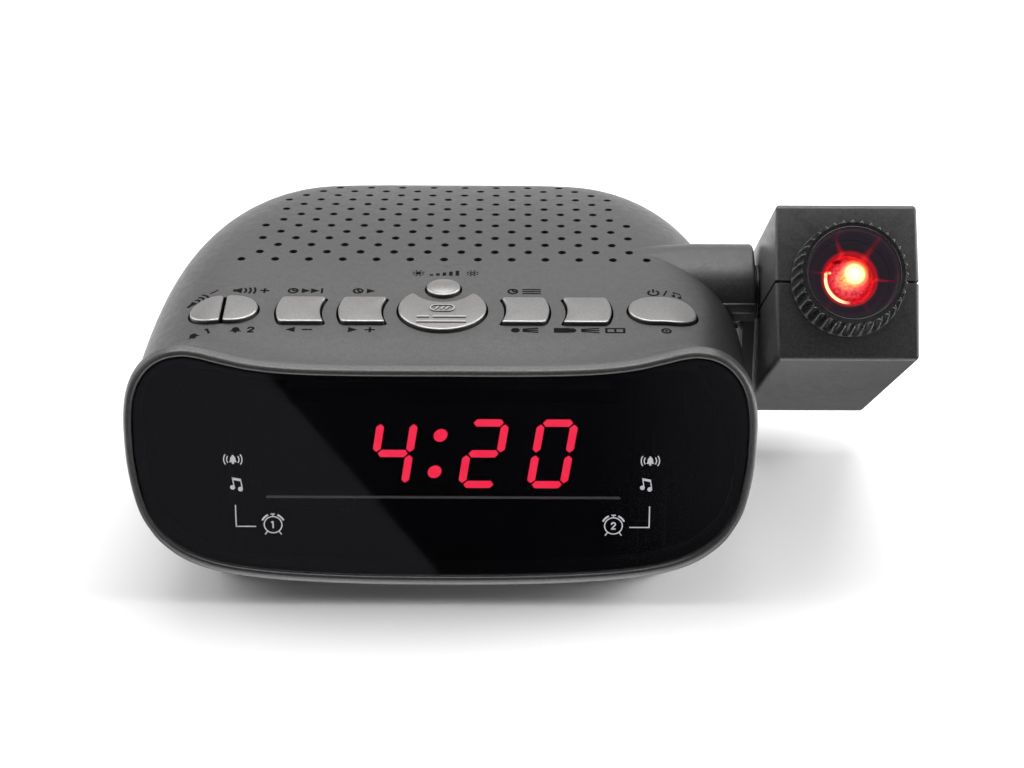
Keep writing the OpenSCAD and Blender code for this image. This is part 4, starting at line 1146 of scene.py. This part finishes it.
# ---------------------------------------------------------------- flat marks
class Marks:
    """Collects flat shapes as thin plates: strokes, discs, rings and polygons."""

    def __init__(self):
        self.loops = []

    def poly(self, pts):
        pts = [tuple(p) for p in pts]
        self.loops.append(pts if area2(pts) > 0 else pts[::-1])
        return self

    def rect(self, x0, y0, x1, y1):
        return self.poly([(x0, y0), (x1, y0), (x1, y1), (x0, y1)])

    def disc(self, x, y, r, n=20):
        return self.poly(circle(x, y, r, n))

    def line(self, x0, y0, x1, y1, w):
        dx, dy = x1 - x0, y1 - y0
        L = math.hypot(dx, dy)
        nx, ny = -dy / L * w / 2, dx / L * w / 2
        return self.poly([(x0 + nx, y0 + ny), (x0 - nx, y0 - ny), (x1 - nx, y1 - ny), (x1 + nx, y1 + ny)])

    def arc(self, x, y, r, a0, a1, w, n=None):
        n = n or max(3, int(abs(a1 - a0) / 14))
        out = []
        for k in range(n):
            t0, t1 = rad(a0 + (a1 - a0) * k / n), rad(a0 + (a1 - a0) * (k + 1) / n)
            ri, ro = r - w / 2, r + w / 2
            self.poly([(x + ri * math.cos(t0), y + ri * math.sin(t0)), (x + ro * math.cos(t0), y + ro * math.sin(t0)),
                       (x + ro * math.cos(t1), y + ro * math.sin(t1)), (x + ri * math.cos(t1), y + ri * math.sin(t1))])
        return self

    def build(self, name, height, place):
        v, f = [], []
        for loop in self.loops:
            n, b = len(loop), len(v)
            v += [place((p[0], p[1], 0.0)) for p in loop] + [place((p[0], p[1], height)) for p in loop]
            f += [tuple(b + i for i in range(n - 1, -1, -1)), tuple(b + i for i in range(n, 2 * n))]
            f += [(b + i, b + (i + 1) % n, b + n + (i + 1) % n, b + n + i) for i in range(n)]
        return new_object(name, v, f, None)


# window print: bells, notes, brackets and two small alarm clocks with plain numbers
def bell(m, x, y, s):
    m.poly([(x - 1.0 * s, y - 0.75 * s), (x + 1.0 * s, y - 0.75 * s), (x + 0.72 * s, y - 0.3 * s), (x + 0.66 * s, y + 0.4 * s),
            (x + 0.36 * s, y + 0.85 * s), (x - 0.36 * s, y + 0.85 * s), (x - 0.66 * s, y + 0.4 * s), (x - 0.72 * s, y - 0.3 * s)])
    m.disc(x, y + 1.0 * s, 0.24 * s, 10)
    m.disc(x, y - 0.98 * s, 0.3 * s, 12)
    for k in (1.55, 2.3):
        m.arc(x, y, k * s, -36, 36, 0.28 * s)
        m.arc(x, y, k * s, 144, 216, 0.28 * s)


def note(m, x, y, s):
    m.disc(x - 0.85 * s, y - 0.95 * s, 0.55 * s, 16)
    m.disc(x + 0.85 * s, y - 1.35 * s, 0.55 * s, 16)
    m.line(x - 0.45 * s, y - 0.95 * s, x - 0.85 * s, y + 1.3 * s, 0.24 * s)
    m.line(x + 1.27 * s, y - 1.3 * s, x + 0.95 * s, y + 0.9 * s, 0.24 * s)
    m.poly([(x - 0.90 * s, y + 0.85 * s), (x + 1.08 * s, y + 0.45 * s), (x + 1.05 * s, y + 1.05 * s), (x - 0.97 * s, y + 1.45 * s)])


def small_clock(m, x, y, s, digit):
    w = 0.27 * s
    m.arc(x, y, 2.0 * s, 0, 360, w, 32)
    m.arc(x, y, 2.62 * s, 24, 66, 0.42 * s)
    m.arc(x, y, 2.62 * s, 114, 156, 0.42 * s)
    m.line(x - 0.5 * s, y + 2.62 * s, x + 0.5 * s, y + 2.62 * s, w)
    m.line(x, y + 2.0 * s, x, y + 2.62 * s, w)
    m.line(x - 1.3 * s, y - 1.6 * s, x - 1.85 * s, y - 2.4 * s, w)
    m.line(x + 1.3 * s, y - 1.6 * s, x + 1.85 * s, y - 2.4 * s, w)
    numeral(m, x, y, 0.85 * s, digit, 0.34 * s)


def numeral(m, x, y, h, digit, w):
    if digit == 1:
        m.line(x, y - h, x, y + h, w)
        m.line(x - 0.45 * h, y + 0.6 * h, x, y + h, w)
    else:
        m.arc(x, y + 0.42 * h, 0.5 * h, -30, 190, w)
        m.line(x + 0.42 * h, y + 0.2 * h, x - 0.5 * h, y - 0.9 * h, w)
        m.line(x - 0.6 * h, y - 0.9 * h, x + 0.62 * h, y - 0.9 * h, w)


def turned(p, cx, cy, a):
    c, s = math.cos(rad(a)), math.sin(rad(a))
    return (cx + (p[0] - cx) * c - (p[1] - cy) * s, cy + (p[0] - cx) * s + (p[1] - cy) * c)


pm = Marks()
note(pm, -51.2, -29.0, 1.15)
bell(pm, -51.85, -22.5, 1.0)
pm.line(-51.65, -34.9, -51.65, -40.95, 0.3)
pm.line(-51.8, -40.8, -46.65, -40.8, 0.3)
small_clock(pm, -42.35, -40.3, 1.12, 1)
bell(pm, 52.4, -22.5, 1.0)
note(pm, 51.5, -28.75, 1.1)
pm.line(52.5, -34.9, 52.5, -40.85, 0.3)
pm.line(52.65, -40.7, 47.5, -40.7, 0.3)
small_clock(pm, 43.5, -40.3, 1.12, 2)
# the strip that carries the painted highlight behind the window
lip = prism("display_lip_painted_highlight", [(-44.3, -34.55), (45.4, -34.55), (45.1, -34.0), (-44.0, -34.0)], -3.98, -3.6, on_face)
dress(lip, "lip", "clock_body")
marks = pm.build("window_symbols", 0.015, on_face)
dress(marks, "print", "clock_body")


# deck print, laid on the surface
def on_surface(p):
    x, y = p[0], p[1]
    return mm((x, y, surf_z(x, y) + 0.02 + p[2]))


dm = Marks()
LW = 0.56


def sign_mark(m, x, y, s, plus):
    m.line(x - s, y, x + s, y, LW)
    if plus:
        m.line(x, y - s, x, y + s, LW)


def speaker_mark(m, x, y, plus):
    m.poly([(x - 4.7, y - 0.6), (x - 3.7, y - 0.6), (x - 2.4, y - 1.45), (x - 2.4, y + 1.45), (x - 3.7, y + 0.6), (x - 4.7, y + 0.6)])
    m.arc(x - 3.0, y, 1.7, -44, 44, LW)
    m.arc(x - 3.0, y, 2.9, -32, 32, LW)
    m.arc(x - 3.0, y, 4.1, -24, 24, LW)
    sign_mark(m, x + 3.5, y, 1.2, plus)


def dial_mark(m, x, y, r, hands):
    m.arc(x, y, r, 0, 360, LW, 28)
    for a, L in hands:
        m.line(x, y, x + L * math.cos(rad(a)), y + L * math.sin(rad(a)), LW)


def tri(m, x, y, s, d):
    m.poly([(x - d * 0.85 * s, y - s), (x - d * 0.85 * s, y + s), (x + d * 0.95 * s, y)])


def sun_mark(m, x, y, s, n=8, hollow=False):
    if hollow:
        m.arc(x, y, 0.62 * s, 0, 360, 0.42 * s, 22)
    else:
        m.disc(x, y, 0.85 * s, 22)
    for k in range(n):
        a = 2 * math.pi * (k + 0.5) / n
        m.line(x + 1.15 * s * math.cos(a), y + 1.15 * s * math.sin(a), x + 1.75 * s * math.cos(a), y + 1.75 * s * math.sin(a), 0.42 * s)


def alarm_mark(m, x, y, digit):
    """A small bell and the number of the alarm."""
    bx = x - 1.7
    m.poly([(bx - 1.55, y - 0.95), (bx + 1.55, y - 0.95), (bx + 1.0, y - 0.35), (bx + 0.85, y + 0.6), (bx + 0.4, y + 1.2),
            (bx - 0.4, y + 1.2), (bx - 0.85, y + 0.6), (bx - 1.0, y - 0.35)])
    m.disc(bx, y - 1.2, 0.45, 12)
    numeral(m, x + 2.1, y, 1.3, digit, 0.62)


def tilted(k0, cx, cy, a):
    dm.loops[k0:] = [[turned(q, cx, cy, a) for q in loop] for loop in dm.loops[k0:]]


UP, DOWN = -17.95, -38.4
k0 = len(dm.loops)
speaker_mark(dm, -62.5, -20.0, False)
tilted(k0, -62.5, -20.0, 37)
speaker_mark(dm, -50.1, UP, True)
k0 = len(dm.loops)
alarm_mark(dm, -61.1, -39.6, 1)
tilted(k0, -61.1, -39.6, 18)
alarm_mark(dm, -50.4, -38.55, 2)
dial_mark(dm, -39.2, UP, 1.15, ((90, 0.9), (0, 0.8)))
tri(dm, -35.9, UP, 1.25, 1)
tri(dm, -33.5, UP, 1.25, 1)
dm.line(-31.7, UP - 1.3, -31.7, UP + 1.3, LW)
dial_mark(dm, -22.3, UP, 1.15, ((90, 0.9), (-45, 0.85)))
tri(dm, -19.0, UP, 1.25, 1)
tri(dm, -38.3, DOWN, 1.3, -1)
sign_mark(dm, -34.1, DOWN, 1.3, False)
tri(dm, -22.6, DOWN, 1.3, 1)
sign_mark(dm, -18.2, DOWN, 1.3, True)
sun_mark(dm, -7.0, -8.0, 0.95)
for k in range(5):
    dm.rect(-4.0 + 1.7 * k, -9.35, -3.05 + 1.7 * k, -8.6 + 0.5 * k)
sun_mark(dm, 7.3, -8.0, 0.95, hollow=True)
dial_mark(dm, 17.9, UP, 1.15, ((90, 0.9), (0, 0.8)))
for dy in (1.05, 0.0, -1.05):
    dm.line(20.4, UP + dy, 25.2, UP + dy, 0.5)
dm.disc(18.6, DOWN, 1.15, 22)
for dy in (-1.0, 0.0, 1.0):
    dm.line(20.4, DOWN + dy * 0.55, 24.4, DOWN + dy * 1.05, LW)
dm.rect(28.3, DOWN - 1.2, 32.3, DOWN + 1.2)
dm.disc(32.9, DOWN, 1.1, 22)
for dy in (-1.0, 0.0, 1.0):
    dm.line(35.2, DOWN + dy * 0.5, 39.8, DOWN + dy * 1.1, 0.5)
dm.rect(41.3, DOWN - 1.3, 41.9, DOWN + 1.3)
dm.rect(45.8, DOWN - 1.3, 46.4, DOWN + 1.3)
dm.rect(41.3, DOWN + 0.75, 46.4, DOWN + 1.3)
dm.rect(41.3, DOWN - 1.3, 46.4, DOWN - 0.75)
dm.line(43.85, DOWN - 0.9, 43.85, DOWN + 0.9, LW)
dm.arc(54.4, UP - 0.5, 1.35, 125, 415, LW, 22)
dm.line(54.4, UP - 0.3, 54.4, UP + 1.4, LW)
dm.line(57.0, UP - 1.9, 58.0, UP + 1.0, 0.46)
note(dm, 60.4, UP - 0.5, 0.95)
dm.arc(56.8, DOWN, 1.05, 0, 360, LW, 22)
dm.disc(56.8, DOWN, 0.4, 14)
deck_marks = dm.build("deck_symbols", 0.02, on_surface)
dress(deck_marks, "ink", "clock_body")

# raised capsule with three slanted strokes over three bars, on the snooze key
sm = Marks()
ix, iy = SNX, 0.25
sm.arc(ix - 1.5, iy, 1.55, 90, 270, 0.36, 10)
sm.arc(ix + 1.5, iy, 1.55, -90, 90, 0.36, 10)
sm.line(ix - 1.5, iy + 1.55, ix + 1.5, iy + 1.55, 0.36)
sm.line(ix - 1.5, iy - 1.55, ix + 1.5, iy - 1.55, 0.36)
for dx in (-1.35, 0.0, 1.35):
    sm.line(ix + dx - 0.35, iy - 0.75, ix + dx + 0.35, iy + 0.75, 0.4)
for x0, x1, y0 in ((-6.5, -3.4, -4.65), (-2.4, 6.1, -4.65), (-6.5, 6.1, -7.2)):
    sm.rect(x0, y0, x1, y0 + 0.75)


def on_snooze(p):
    return on_deck((p[0], p[1], top_key + p[2]))


relief = sm.build("snooze_relief", 0.25, on_snooze)
dress(relief, "relief", "button_snooze")


# ---------------------------------------------------------------- projector head
def soft_box(name, lo, hi, place, r_vert, r_top, draft, top_up=True, r_bot=0.12, q=5, rows=1):
    """Box with rounded upright edges and one rounded end, drafted towards it."""
    x0, y0, z0 = lo
    x1, y1, z1 = hi
    H = z1 - z0
    steps = [(r_bot, 0.0), (0.0, r_bot)]
    steps.append((H * math.tan(rad(draft)) * (H - r_top) / H, H - r_top))
    base = H * math.tan(rad(draft))
    for a in (22, 45, 68, 90):
        steps.append((base + r_top * (1 - math.cos(rad(a))), H - r_top * (1 - math.sin(rad(a)))))
    v, f = [], []
    for d, h in steps:
        for c in range(4):
            cx = x1 - r_vert if c in (0, 3) else x0 + r_vert
            cy = y1 - r_vert if c in (0, 1) else y0 + r_vert
            for i in range(q + 1):
                a = rad(c * 90 + i * 90 / q)
                rr = max(r_vert - d, 0.02)
                k = (r_vert - d) - rr
                v.append((cx + rr * math.cos(a) + k * (1 if c in (0, 3) else -1), cy + rr * math.sin(a) + k * (1 if c in (0, 1) else -1), (z0 + h) if top_up else (z1 - h)))
    m = 4 * (q + 1)
    for k in range(len(steps) - 1):
        for i in range(m):
            f.append((k * m + i, k * m + (i + 1) % m, (k + 1) * m + (i + 1) % m, (k + 1) * m + i))
    f.append(tuple(range(m - 1, -1, -1)))
    e = (len(steps) - 1) * m
    f.append(tuple(range(e, e + m)))
    ob = new_object(name, v, f, place)
    clean_normals(ob)
    return ob


def lens_cyl(name, c0, c1, r, n=72):
    loop = circle(0, 0, r, n)
    v = [(p[0], p[1], c0) for p in loop] + [(p[0], p[1], c1) for p in loop]
    f = [tuple(range(n - 1, -1, -1)), tuple(range(n, 2 * n))]
    f += [(i, (i + 1) % n, n + (i + 1) % n, n + i) for i in range(n)]
    ob = new_object(name, v, f, on_lens)
    clean_normals(ob)
    return ob


HX1 = HEAD_X0 + HEAD_W
upper = soft_box("head_upper", (HEAD_X0, -HEAD_F, HEAD_MID + 0.34), (HX1, HEAD_R, HEAD_MID + HEAD_H / 2), in_head, 1.25, 1.15, 1.0)
boolean(upper, [box_solid("u1", (HEAD_X0 + 2.2, -HEAD_F + 2.2, -20), (HX1 - 2.2, HEAD_R - 2.2, HEAD_MID + HEAD_H / 2 - 2.2), in_head)])
boolean(upper, [lens_cyl("u2", -8, 5, 11.55), x_cyl("u3", 80, 87, NECK_R + 0.03, place=in_head)])
dress(upper, "head", "projector_head", "projector_upper_shell", 28)
lower = soft_box("head_lower", (HEAD_X0, -HEAD_F, HEAD_MID - HEAD_H / 2), (HX1, HEAD_R, HEAD_MID - 0.34), in_head, 1.25, 1.15, 1.0, top_up=False)
tongue = box_solid("l0", (HEAD_X0 + 1.1, -HEAD_F + 1.1, HEAD_MID - 2), (HX1 - 1.1, HEAD_R - 1.1, HEAD_MID + 0.33), in_head)
boolean(lower, [tongue], "UNION")
boolean(lower, [box_solid("l1", (HEAD_X0 + 2.2, -HEAD_F + 2.2, HEAD_MID - HEAD_H / 2 + 2.2), (HX1 - 2.2, HEAD_R - 2.2, 20), in_head)])
boolean(lower, [lens_cyl("l2", -8, 5, 11.55), x_cyl("l3", 80, 87, NECK_R + 0.03, place=in_head)])
dress(lower, "head", "projector_head", "projector_lower_shell", 28)

# pivot tube, split along the plane of the lens axis
tube_prof = [(4.6, 74.2), (NECK_R, 74.2), (NECK_R, 75.75), (10.2, 75.75), (10.2, 77.95), (NECK_R, 77.95), (NECK_R, 82.4), (NECK_R - 0.25, 82.7),
             (NECK_R - 0.25, 83.2), (NECK_R, 83.5), (NECK_R, HEAD_X0 + 2.35), (9.6, HEAD_X0 + 2.35), (9.6, HEAD_X0 + 4.25), (4.6, HEAD_X0 + 4.25)]


def tube_place(p):
    return on_axis((p[2], p[0], p[1]))


tube = lathe("pivot", tube_prof, tube_place, 72)
boolean(tube, [box_solid("s1", (60, -9, -0.12), (83.6, 9, 0.12), lambda p: in_head(p))])
dress(tube, "head", "projector_head", "pivot_tube", 30)


# ---------------------------------------------------------------- focus ring and lens
def lens_object(name, verts, faces):
    """Mesh in lens coordinates (mm -> m) with the object's origin at the front face's centre."""
    ob = new_object(name, [(v[0] / 1000, v[1] / 1000, v[2] / 1000) for v in verts], faces, None)
    o = Vector(on_lens((0, 0, 0)))
    ax = [Vector(on_lens(e)) - o for e in ((1, 0, 0), (0, 1, 0), (0, 0, 1))]
    mtx = Matrix.Identity(4)
    for c in range(3):
        a = ax[c].normalized()
        for r in range(3):
            mtx[r][c] = a[r]
        mtx[c][3] = o[c]
    ob.matrix_world = mtx
    return ob


def lens_lathe(name, prof, n=120, wave=None, closed=True):
    v, f = [], []
    m = len(prof)
    for i in range(n):
        a = 2 * math.pi * i / n
        for k, (r, h) in enumerate(prof):
            rr = r - (wave(a, k) if wave else 0.0)
            v.append((rr * math.cos(a), rr * math.sin(a), h))
    for i in range(n):
        for k in (range(m) if closed else range(m - 1)):
            k2 = (k + 1) % m
            f.append((i * m + k, ((i + 1) % n) * m + k, ((i + 1) % n) * m + k2, i * m + k2))
    ob = lens_object(name, v, f)
    clean_normals(ob)
    return ob


RIBS, FR, FL = 36, 14.4, 12.0


def ring_r(w):
    return FR - 0.9 * max(0.0, w - 1.2) / 10.1


flank = [(ring_r(w), w) for w in (1.6, 2.4, 3.4, 4.6, 6.0, 7.5, 9.0, 10.2, 11.1)]
ring_pts = [(10.1, -4.6), (12.2, -4.6), (12.2, -3.2), (11.5, -2.4), (11.5, 0.5), (FR - 0.35, 0.5), (FR - 0.1, 0.65), (FR, 0.9), (FR, 1.2)]
k_first = len(ring_pts)
ring_pts += flank + [(13.42, 11.45), (13.26, 11.75), (13.0, 11.93), (12.7, 12.0)]
k_last = len(ring_pts) - 2
ring_pts += [(12.2, 11.94), (11.78, 11.9), (11.68, 11.98), (11.55, 12.0), (11.44, 11.94), (11.38, 11.8), (11.34, 11.5), (11.3, 10.2)]


def rib(a, k):
    """Concave flutes with sharp crests between them, deeper towards the front."""
    if not k_first <= k <= k_last:
        return 0.0
    s = (a * RIBS / (2 * math.pi) + 1e-6) % 1.0
    w = ring_pts[k][1]
    d = 0.95 * min(1.0, max(0.0, (w - 1.2) / 9.5)) ** 0.9
    if w > 11.9:
        d *= 0.75
    return d * (1 - min(1.0, abs(2 * s - 1) / 0.9) ** 2)


inner_pts = [(10.95, 9.8), (10.95, 3.0), (10.1, 3.0)]
focus = lens_lathe("focus_knurl", ring_pts + inner_pts, RIBS * 20, rib)
dress(focus, "knurl", "focus_ring", "focus_ring", 38)
# the bore's inner faces get the funnel's painted glow
focus.data.materials.append(MAT["funnel"])
for f in focus.data.polygons:
    if all(math.hypot(focus.data.vertices[i].co.x, focus.data.vertices[i].co.y) < 0.01142 and focus.data.vertices[i].co.z > 0.0028 for i in f.vertices):
        f.material_index = 1

# the barrel wears the funnel's painted glow as well
barrel = lens_lathe("barrel", [(8.6, -20), (10.0, -20), (10.0, 1.4), (10.06, 1.8), (10.06, 2.9), (9.95, 2.98), (8.5, 3.0), (8.1, 3.12), (7.3, 3.9), (7.0, 4.05), (6.6, 4.0), (6.4, 3.6), (6.4, -2), (8.6, -2)], 96)
dress(barrel, "funnel", "lens_carrier", "lens_barrel", 30)
dome = [(0.0, 3.65), (1.0, 3.6), (2.0, 3.45), (3.0, 3.2), (3.9, 2.9), (4.7, 2.5), (5.4, 2.05), (5.95, 1.55), (6.3, 1.1), (6.35, 0.9), (6.35, -1.6), (0.0, -1.6)]
lens = lens_lathe("lens_glass", dome, 72, closed=False)
dress(lens, "lens", "lens_carrier", "projection_lens", 35)
lens.visible_glossy = False

# ---------------------------------------------------------------- CAD nodes that stay
for node, mat in {
    "display_housing": "reflector", "digit_segments": "lit", "main_board": "board", "key_board": "board",
    "speaker": "steel", "speaker_cone": "cone", "transformer": "steel", "cord_gland": "rubber", "battery_door": "base",
    "battery_contacts": "screw", "rubber_feet": "rubber", "case_screws": "screw_dark", "speaker_screws": "screw",
    "board_screws": "screw", "friction_washer": "screw", "lcd_panel": "glass",
    "condenser_lens": "glass", "optics_holder": "black", "projector_led_board": "board",
}.items():
    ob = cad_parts[node]
    for s in ob.material_slots:
        s.material = MAT[mat]
    if not ob.material_slots:
        ob.data.materials.append(MAT[mat])

# ---------------------------------------------------------------- floor and light
floor = new_object("floor", [(-4, -4, 0), (4, -4, 0), (4, 4, 0), (-4, 4, 0)], [(0, 1, 2, 3)], None)
fm, fnt, fb = nodes_of("floor_white")
fb.inputs["Roughness"].default_value = 0.9
fb.inputs["Specular IOR Level"].default_value = 0.0
fcol = ramp(fnt, noise(fnt, obj_coord(fnt), 6, 2), [(0.3, (0.86, 0.86, 0.865)), (0.7, (0.88, 0.88, 0.885))])
fnt.links.new(fcol, fb.inputs["Base Color"])
floor.data.materials.append(fm)
floor.visible_glossy = False

world = bpy.data.worlds.new("studio")
scene.world = world
world.use_nodes = True
wn = world.node_tree
bg = wn.nodes["Background"]
tc = wn.nodes.new("ShaderNodeTexCoord")
sp = wn.nodes.new("ShaderNodeSeparateXYZ")
wn.links.new(tc.outputs["Generated"], sp.inputs[0])


def world_ramp(sock, lo, hi, stops):
    mr = wn.nodes.new("ShaderNodeMapRange")
    mr.inputs["From Min"].default_value = lo
    mr.inputs["From Max"].default_value = hi
    wn.links.new(sock, mr.inputs["Value"])
    return ramp(wn, mr.outputs[0], [(q, (c, c, c * 1.01)) for q, c in stops])


# bright room above and behind, dark in front; the lower half is only seen in glossy surfaces
back = world_ramp(sp.outputs["Z"], -1.0, 1.0, [(0.0, 2.2), (0.05, 1.1), (0.085, 0.12), (0.19, 0.04), (0.235, 0.45), (0.28, 1.3), (0.34, 1.5), (0.44, 1.2), (0.50, 0.9), (0.56, 0.92), (0.63, 0.88), (0.72, 0.60), (0.80, 0.36), (0.90, 0.50), (0.96, 1.1), (1.0, 1.25)])
front = world_ramp(sp.outputs["Z"], -1.0, 1.0, [(0.0, 2.6), (0.10, 1.9), (0.19, 1.2), (0.25, 0.7), (0.305, 0.004), (0.49, 0.006), (0.56, 0.025), (0.72, 0.045), (0.85, 0.06), (1.0, 0.28)])
way = world_ramp(sp.outputs["Y"], -1.0, 1.0, [(0.40, 0.0), (0.62, 1.0)])
wn.links.new(mix_rgb(wn, "MIX", way, front, back), bg.inputs["Color"])
bg.inputs["Strength"].default_value = 1.25


def area(name, loc, target, size, energy, size_y=None, col=(1, 1, 1)):
    ld = bpy.data.lights.new(name, "AREA")
    ld.energy = energy
    ld.size = size
    if size_y:
        ld.shape = "RECTANGLE"
        ld.size_y = size_y
    ld.color = col
    ob = bpy.data.objects.new(name, ld)
    scene.collection.objects.link(ob)
    ob.location = loc
    d = Vector(target) - Vector(loc)
    ob.rotation_euler = d.to_track_quat("-Z", "Y").to_euler()
    return ob


area("overhead", (0.0, 0.42, 1.05), (0, 0.03, 0.03), 1.2, 11.5)
floor_front = area("front_fill", (0.1, -0.9, 0.22), (0.0, -0.08, 0.0), 0.5, 0.7)
floor_front.visible_glossy = False
area("left_soft", (-0.9, 0.25, 0.6), (0, 0, 0.04), 0.8, 3.4)
floor_left = area("left_fill", (-0.7, 0.0, 0.35), (-0.16, 0.0, 0.0), 0.5, 2.0)
floor_left.visible_glossy = False
area("right_soft", (0.85, 0.10, 0.30), (0.06, 0, 0.02), 0.8, 7.0)
fill = area("right_fill", (0.8, 0.05, 0.20), (0.14, 0.02, 0.0), 0.5, 7.5)
fill.visible_glossy = False


def soft_card(name, centre, half_u, half_v, level):
    """A glowing sheet that only glossy surfaces see."""
    c, u, v = Vector(centre), Vector(half_u), Vector(half_v)
    ob = new_object(name, [tuple(c - u - v), tuple(c + u - v), tuple(c + u + v), tuple(c - u + v)], [(0, 1, 2, 3)], None)
    mt = bpy.data.materials.new(name)
    mt.use_nodes = True
    nt = mt.node_tree
    nt.nodes.remove(nt.nodes["Principled BSDF"])
    em = nt.nodes.new("ShaderNodeEmission")
    em.inputs["Strength"].default_value = level
    nt.links.new(em.outputs[0], nt.nodes["Material Output"].inputs["Surface"])
    ob.data.materials.append(mt)
    ob.visible_camera = ob.visible_diffuse = ob.visible_shadow = ob.visible_transmission = False
    return ob


soft_card("strip_above", (0, -0.14, 1.05), (0.6, 0, 0), (0, 0.14, 0.02), 8.0)
soft_card("strip_left", (-0.85, -0.62, 0.45), (0.09, -0.06, 0), (0, 0, 0.38), 2.2)
soft_card("strip_right", (0.95, -0.62, 0.45), (0.09, 0.06, 0), (0, 0, 0.38), 1.6)


# a card that only the glossy window sees: its straight edge crosses the pane
def card(name, px, y_plane, level, tint=(1, 1, 1), fade=None):
    origin = cam.matrix_world.translation.copy()
    basis = cam.matrix_world.to_3x3()
    plane_o, plane_n = Vector(on_face((0, 0, 0))), (Vector(on_face((0, 0, 1))) - Vector(on_face((0, 0, 0)))).normalized()
    pts = []
    for x, y in px:
        k = 36.0 / 85.69
        d = (basis @ Vector(((x - 512) / 1024 * k, (384 - y) / 1024 * k, -1))).normalized()
        t = (plane_o - origin).dot(plane_n) / d.dot(plane_n)
        hit = origin + d * t
        d = d - 2 * d.dot(plane_n) * plane_n
        pts.append(hit + d * ((y_plane - hit.y) / d.y))
    ob = new_object(name, [tuple(q) for q in pts], [tuple(range(len(pts)))], None)
    mt = bpy.data.materials.new(name)
    mt.use_nodes = True
    nt = mt.node_tree
    nt.nodes.remove(nt.nodes["Principled BSDF"])
    em = nt.nodes.new("ShaderNodeEmission")
    em.inputs["Color"].default_value = (*tint, 1)
    em.inputs["Strength"].default_value = level
    if fade:
        # darker towards its first corner, like the edge of a softbox
        sp2 = nt.nodes.new("ShaderNodeSeparateXYZ")
        nt.links.new(obj_coord(nt), sp2.inputs[0])
        mr2 = nt.nodes.new("ShaderNodeMapRange")
        mr2.inputs["From Min"].default_value = pts[0].x
        mr2.inputs["From Max"].default_value = pts[0].x + (pts[1].x - pts[0].x) * fade
        nt.links.new(sp2.outputs[0], mr2.inputs["Value"])
        mr3 = nt.nodes.new("ShaderNodeMapRange")
        mr3.inputs["From Min"].default_value = pts[3].z
        mr3.inputs["From Max"].default_value = pts[0].z
        nt.links.new(sp2.outputs[2], mr3.inputs["Value"])
        across = ramp(nt, mr2.outputs[0], [(0.0, (0, 0, 0)), (1.0, tint)])
        down = ramp(nt, mr3.outputs[0], [(0.0, (0.45,) * 3), (1.0, (1.0,) * 3)])
        nt.links.new(mix_rgb(nt, "MULTIPLY", 1.0, across, down), em.inputs["Color"])
    nt.links.new(em.outputs[0], nt.nodes["Material Output"].inputs["Surface"])
    ob.data.materials.append(mt)
    ob.visible_camera = ob.visible_diffuse = ob.visible_shadow = ob.visible_transmission = False
    return ob


card("card_left", [(262, 369), (453, 590), (60, 700), (60, 300)], -0.75, 0.30, (0.93, 0.93, 1.0))
card("card_right", [(600, 330), (880, 330), (880, 590), (600, 590)], -0.75, 0.34, (0.93, 0.93, 1.0), fade=0.6)

scene.view_settings.view_transform = "Standard"
scene.view_settings.look = "None"
scene.view_settings.exposure = 0
scene.view_settings.gamma = 1
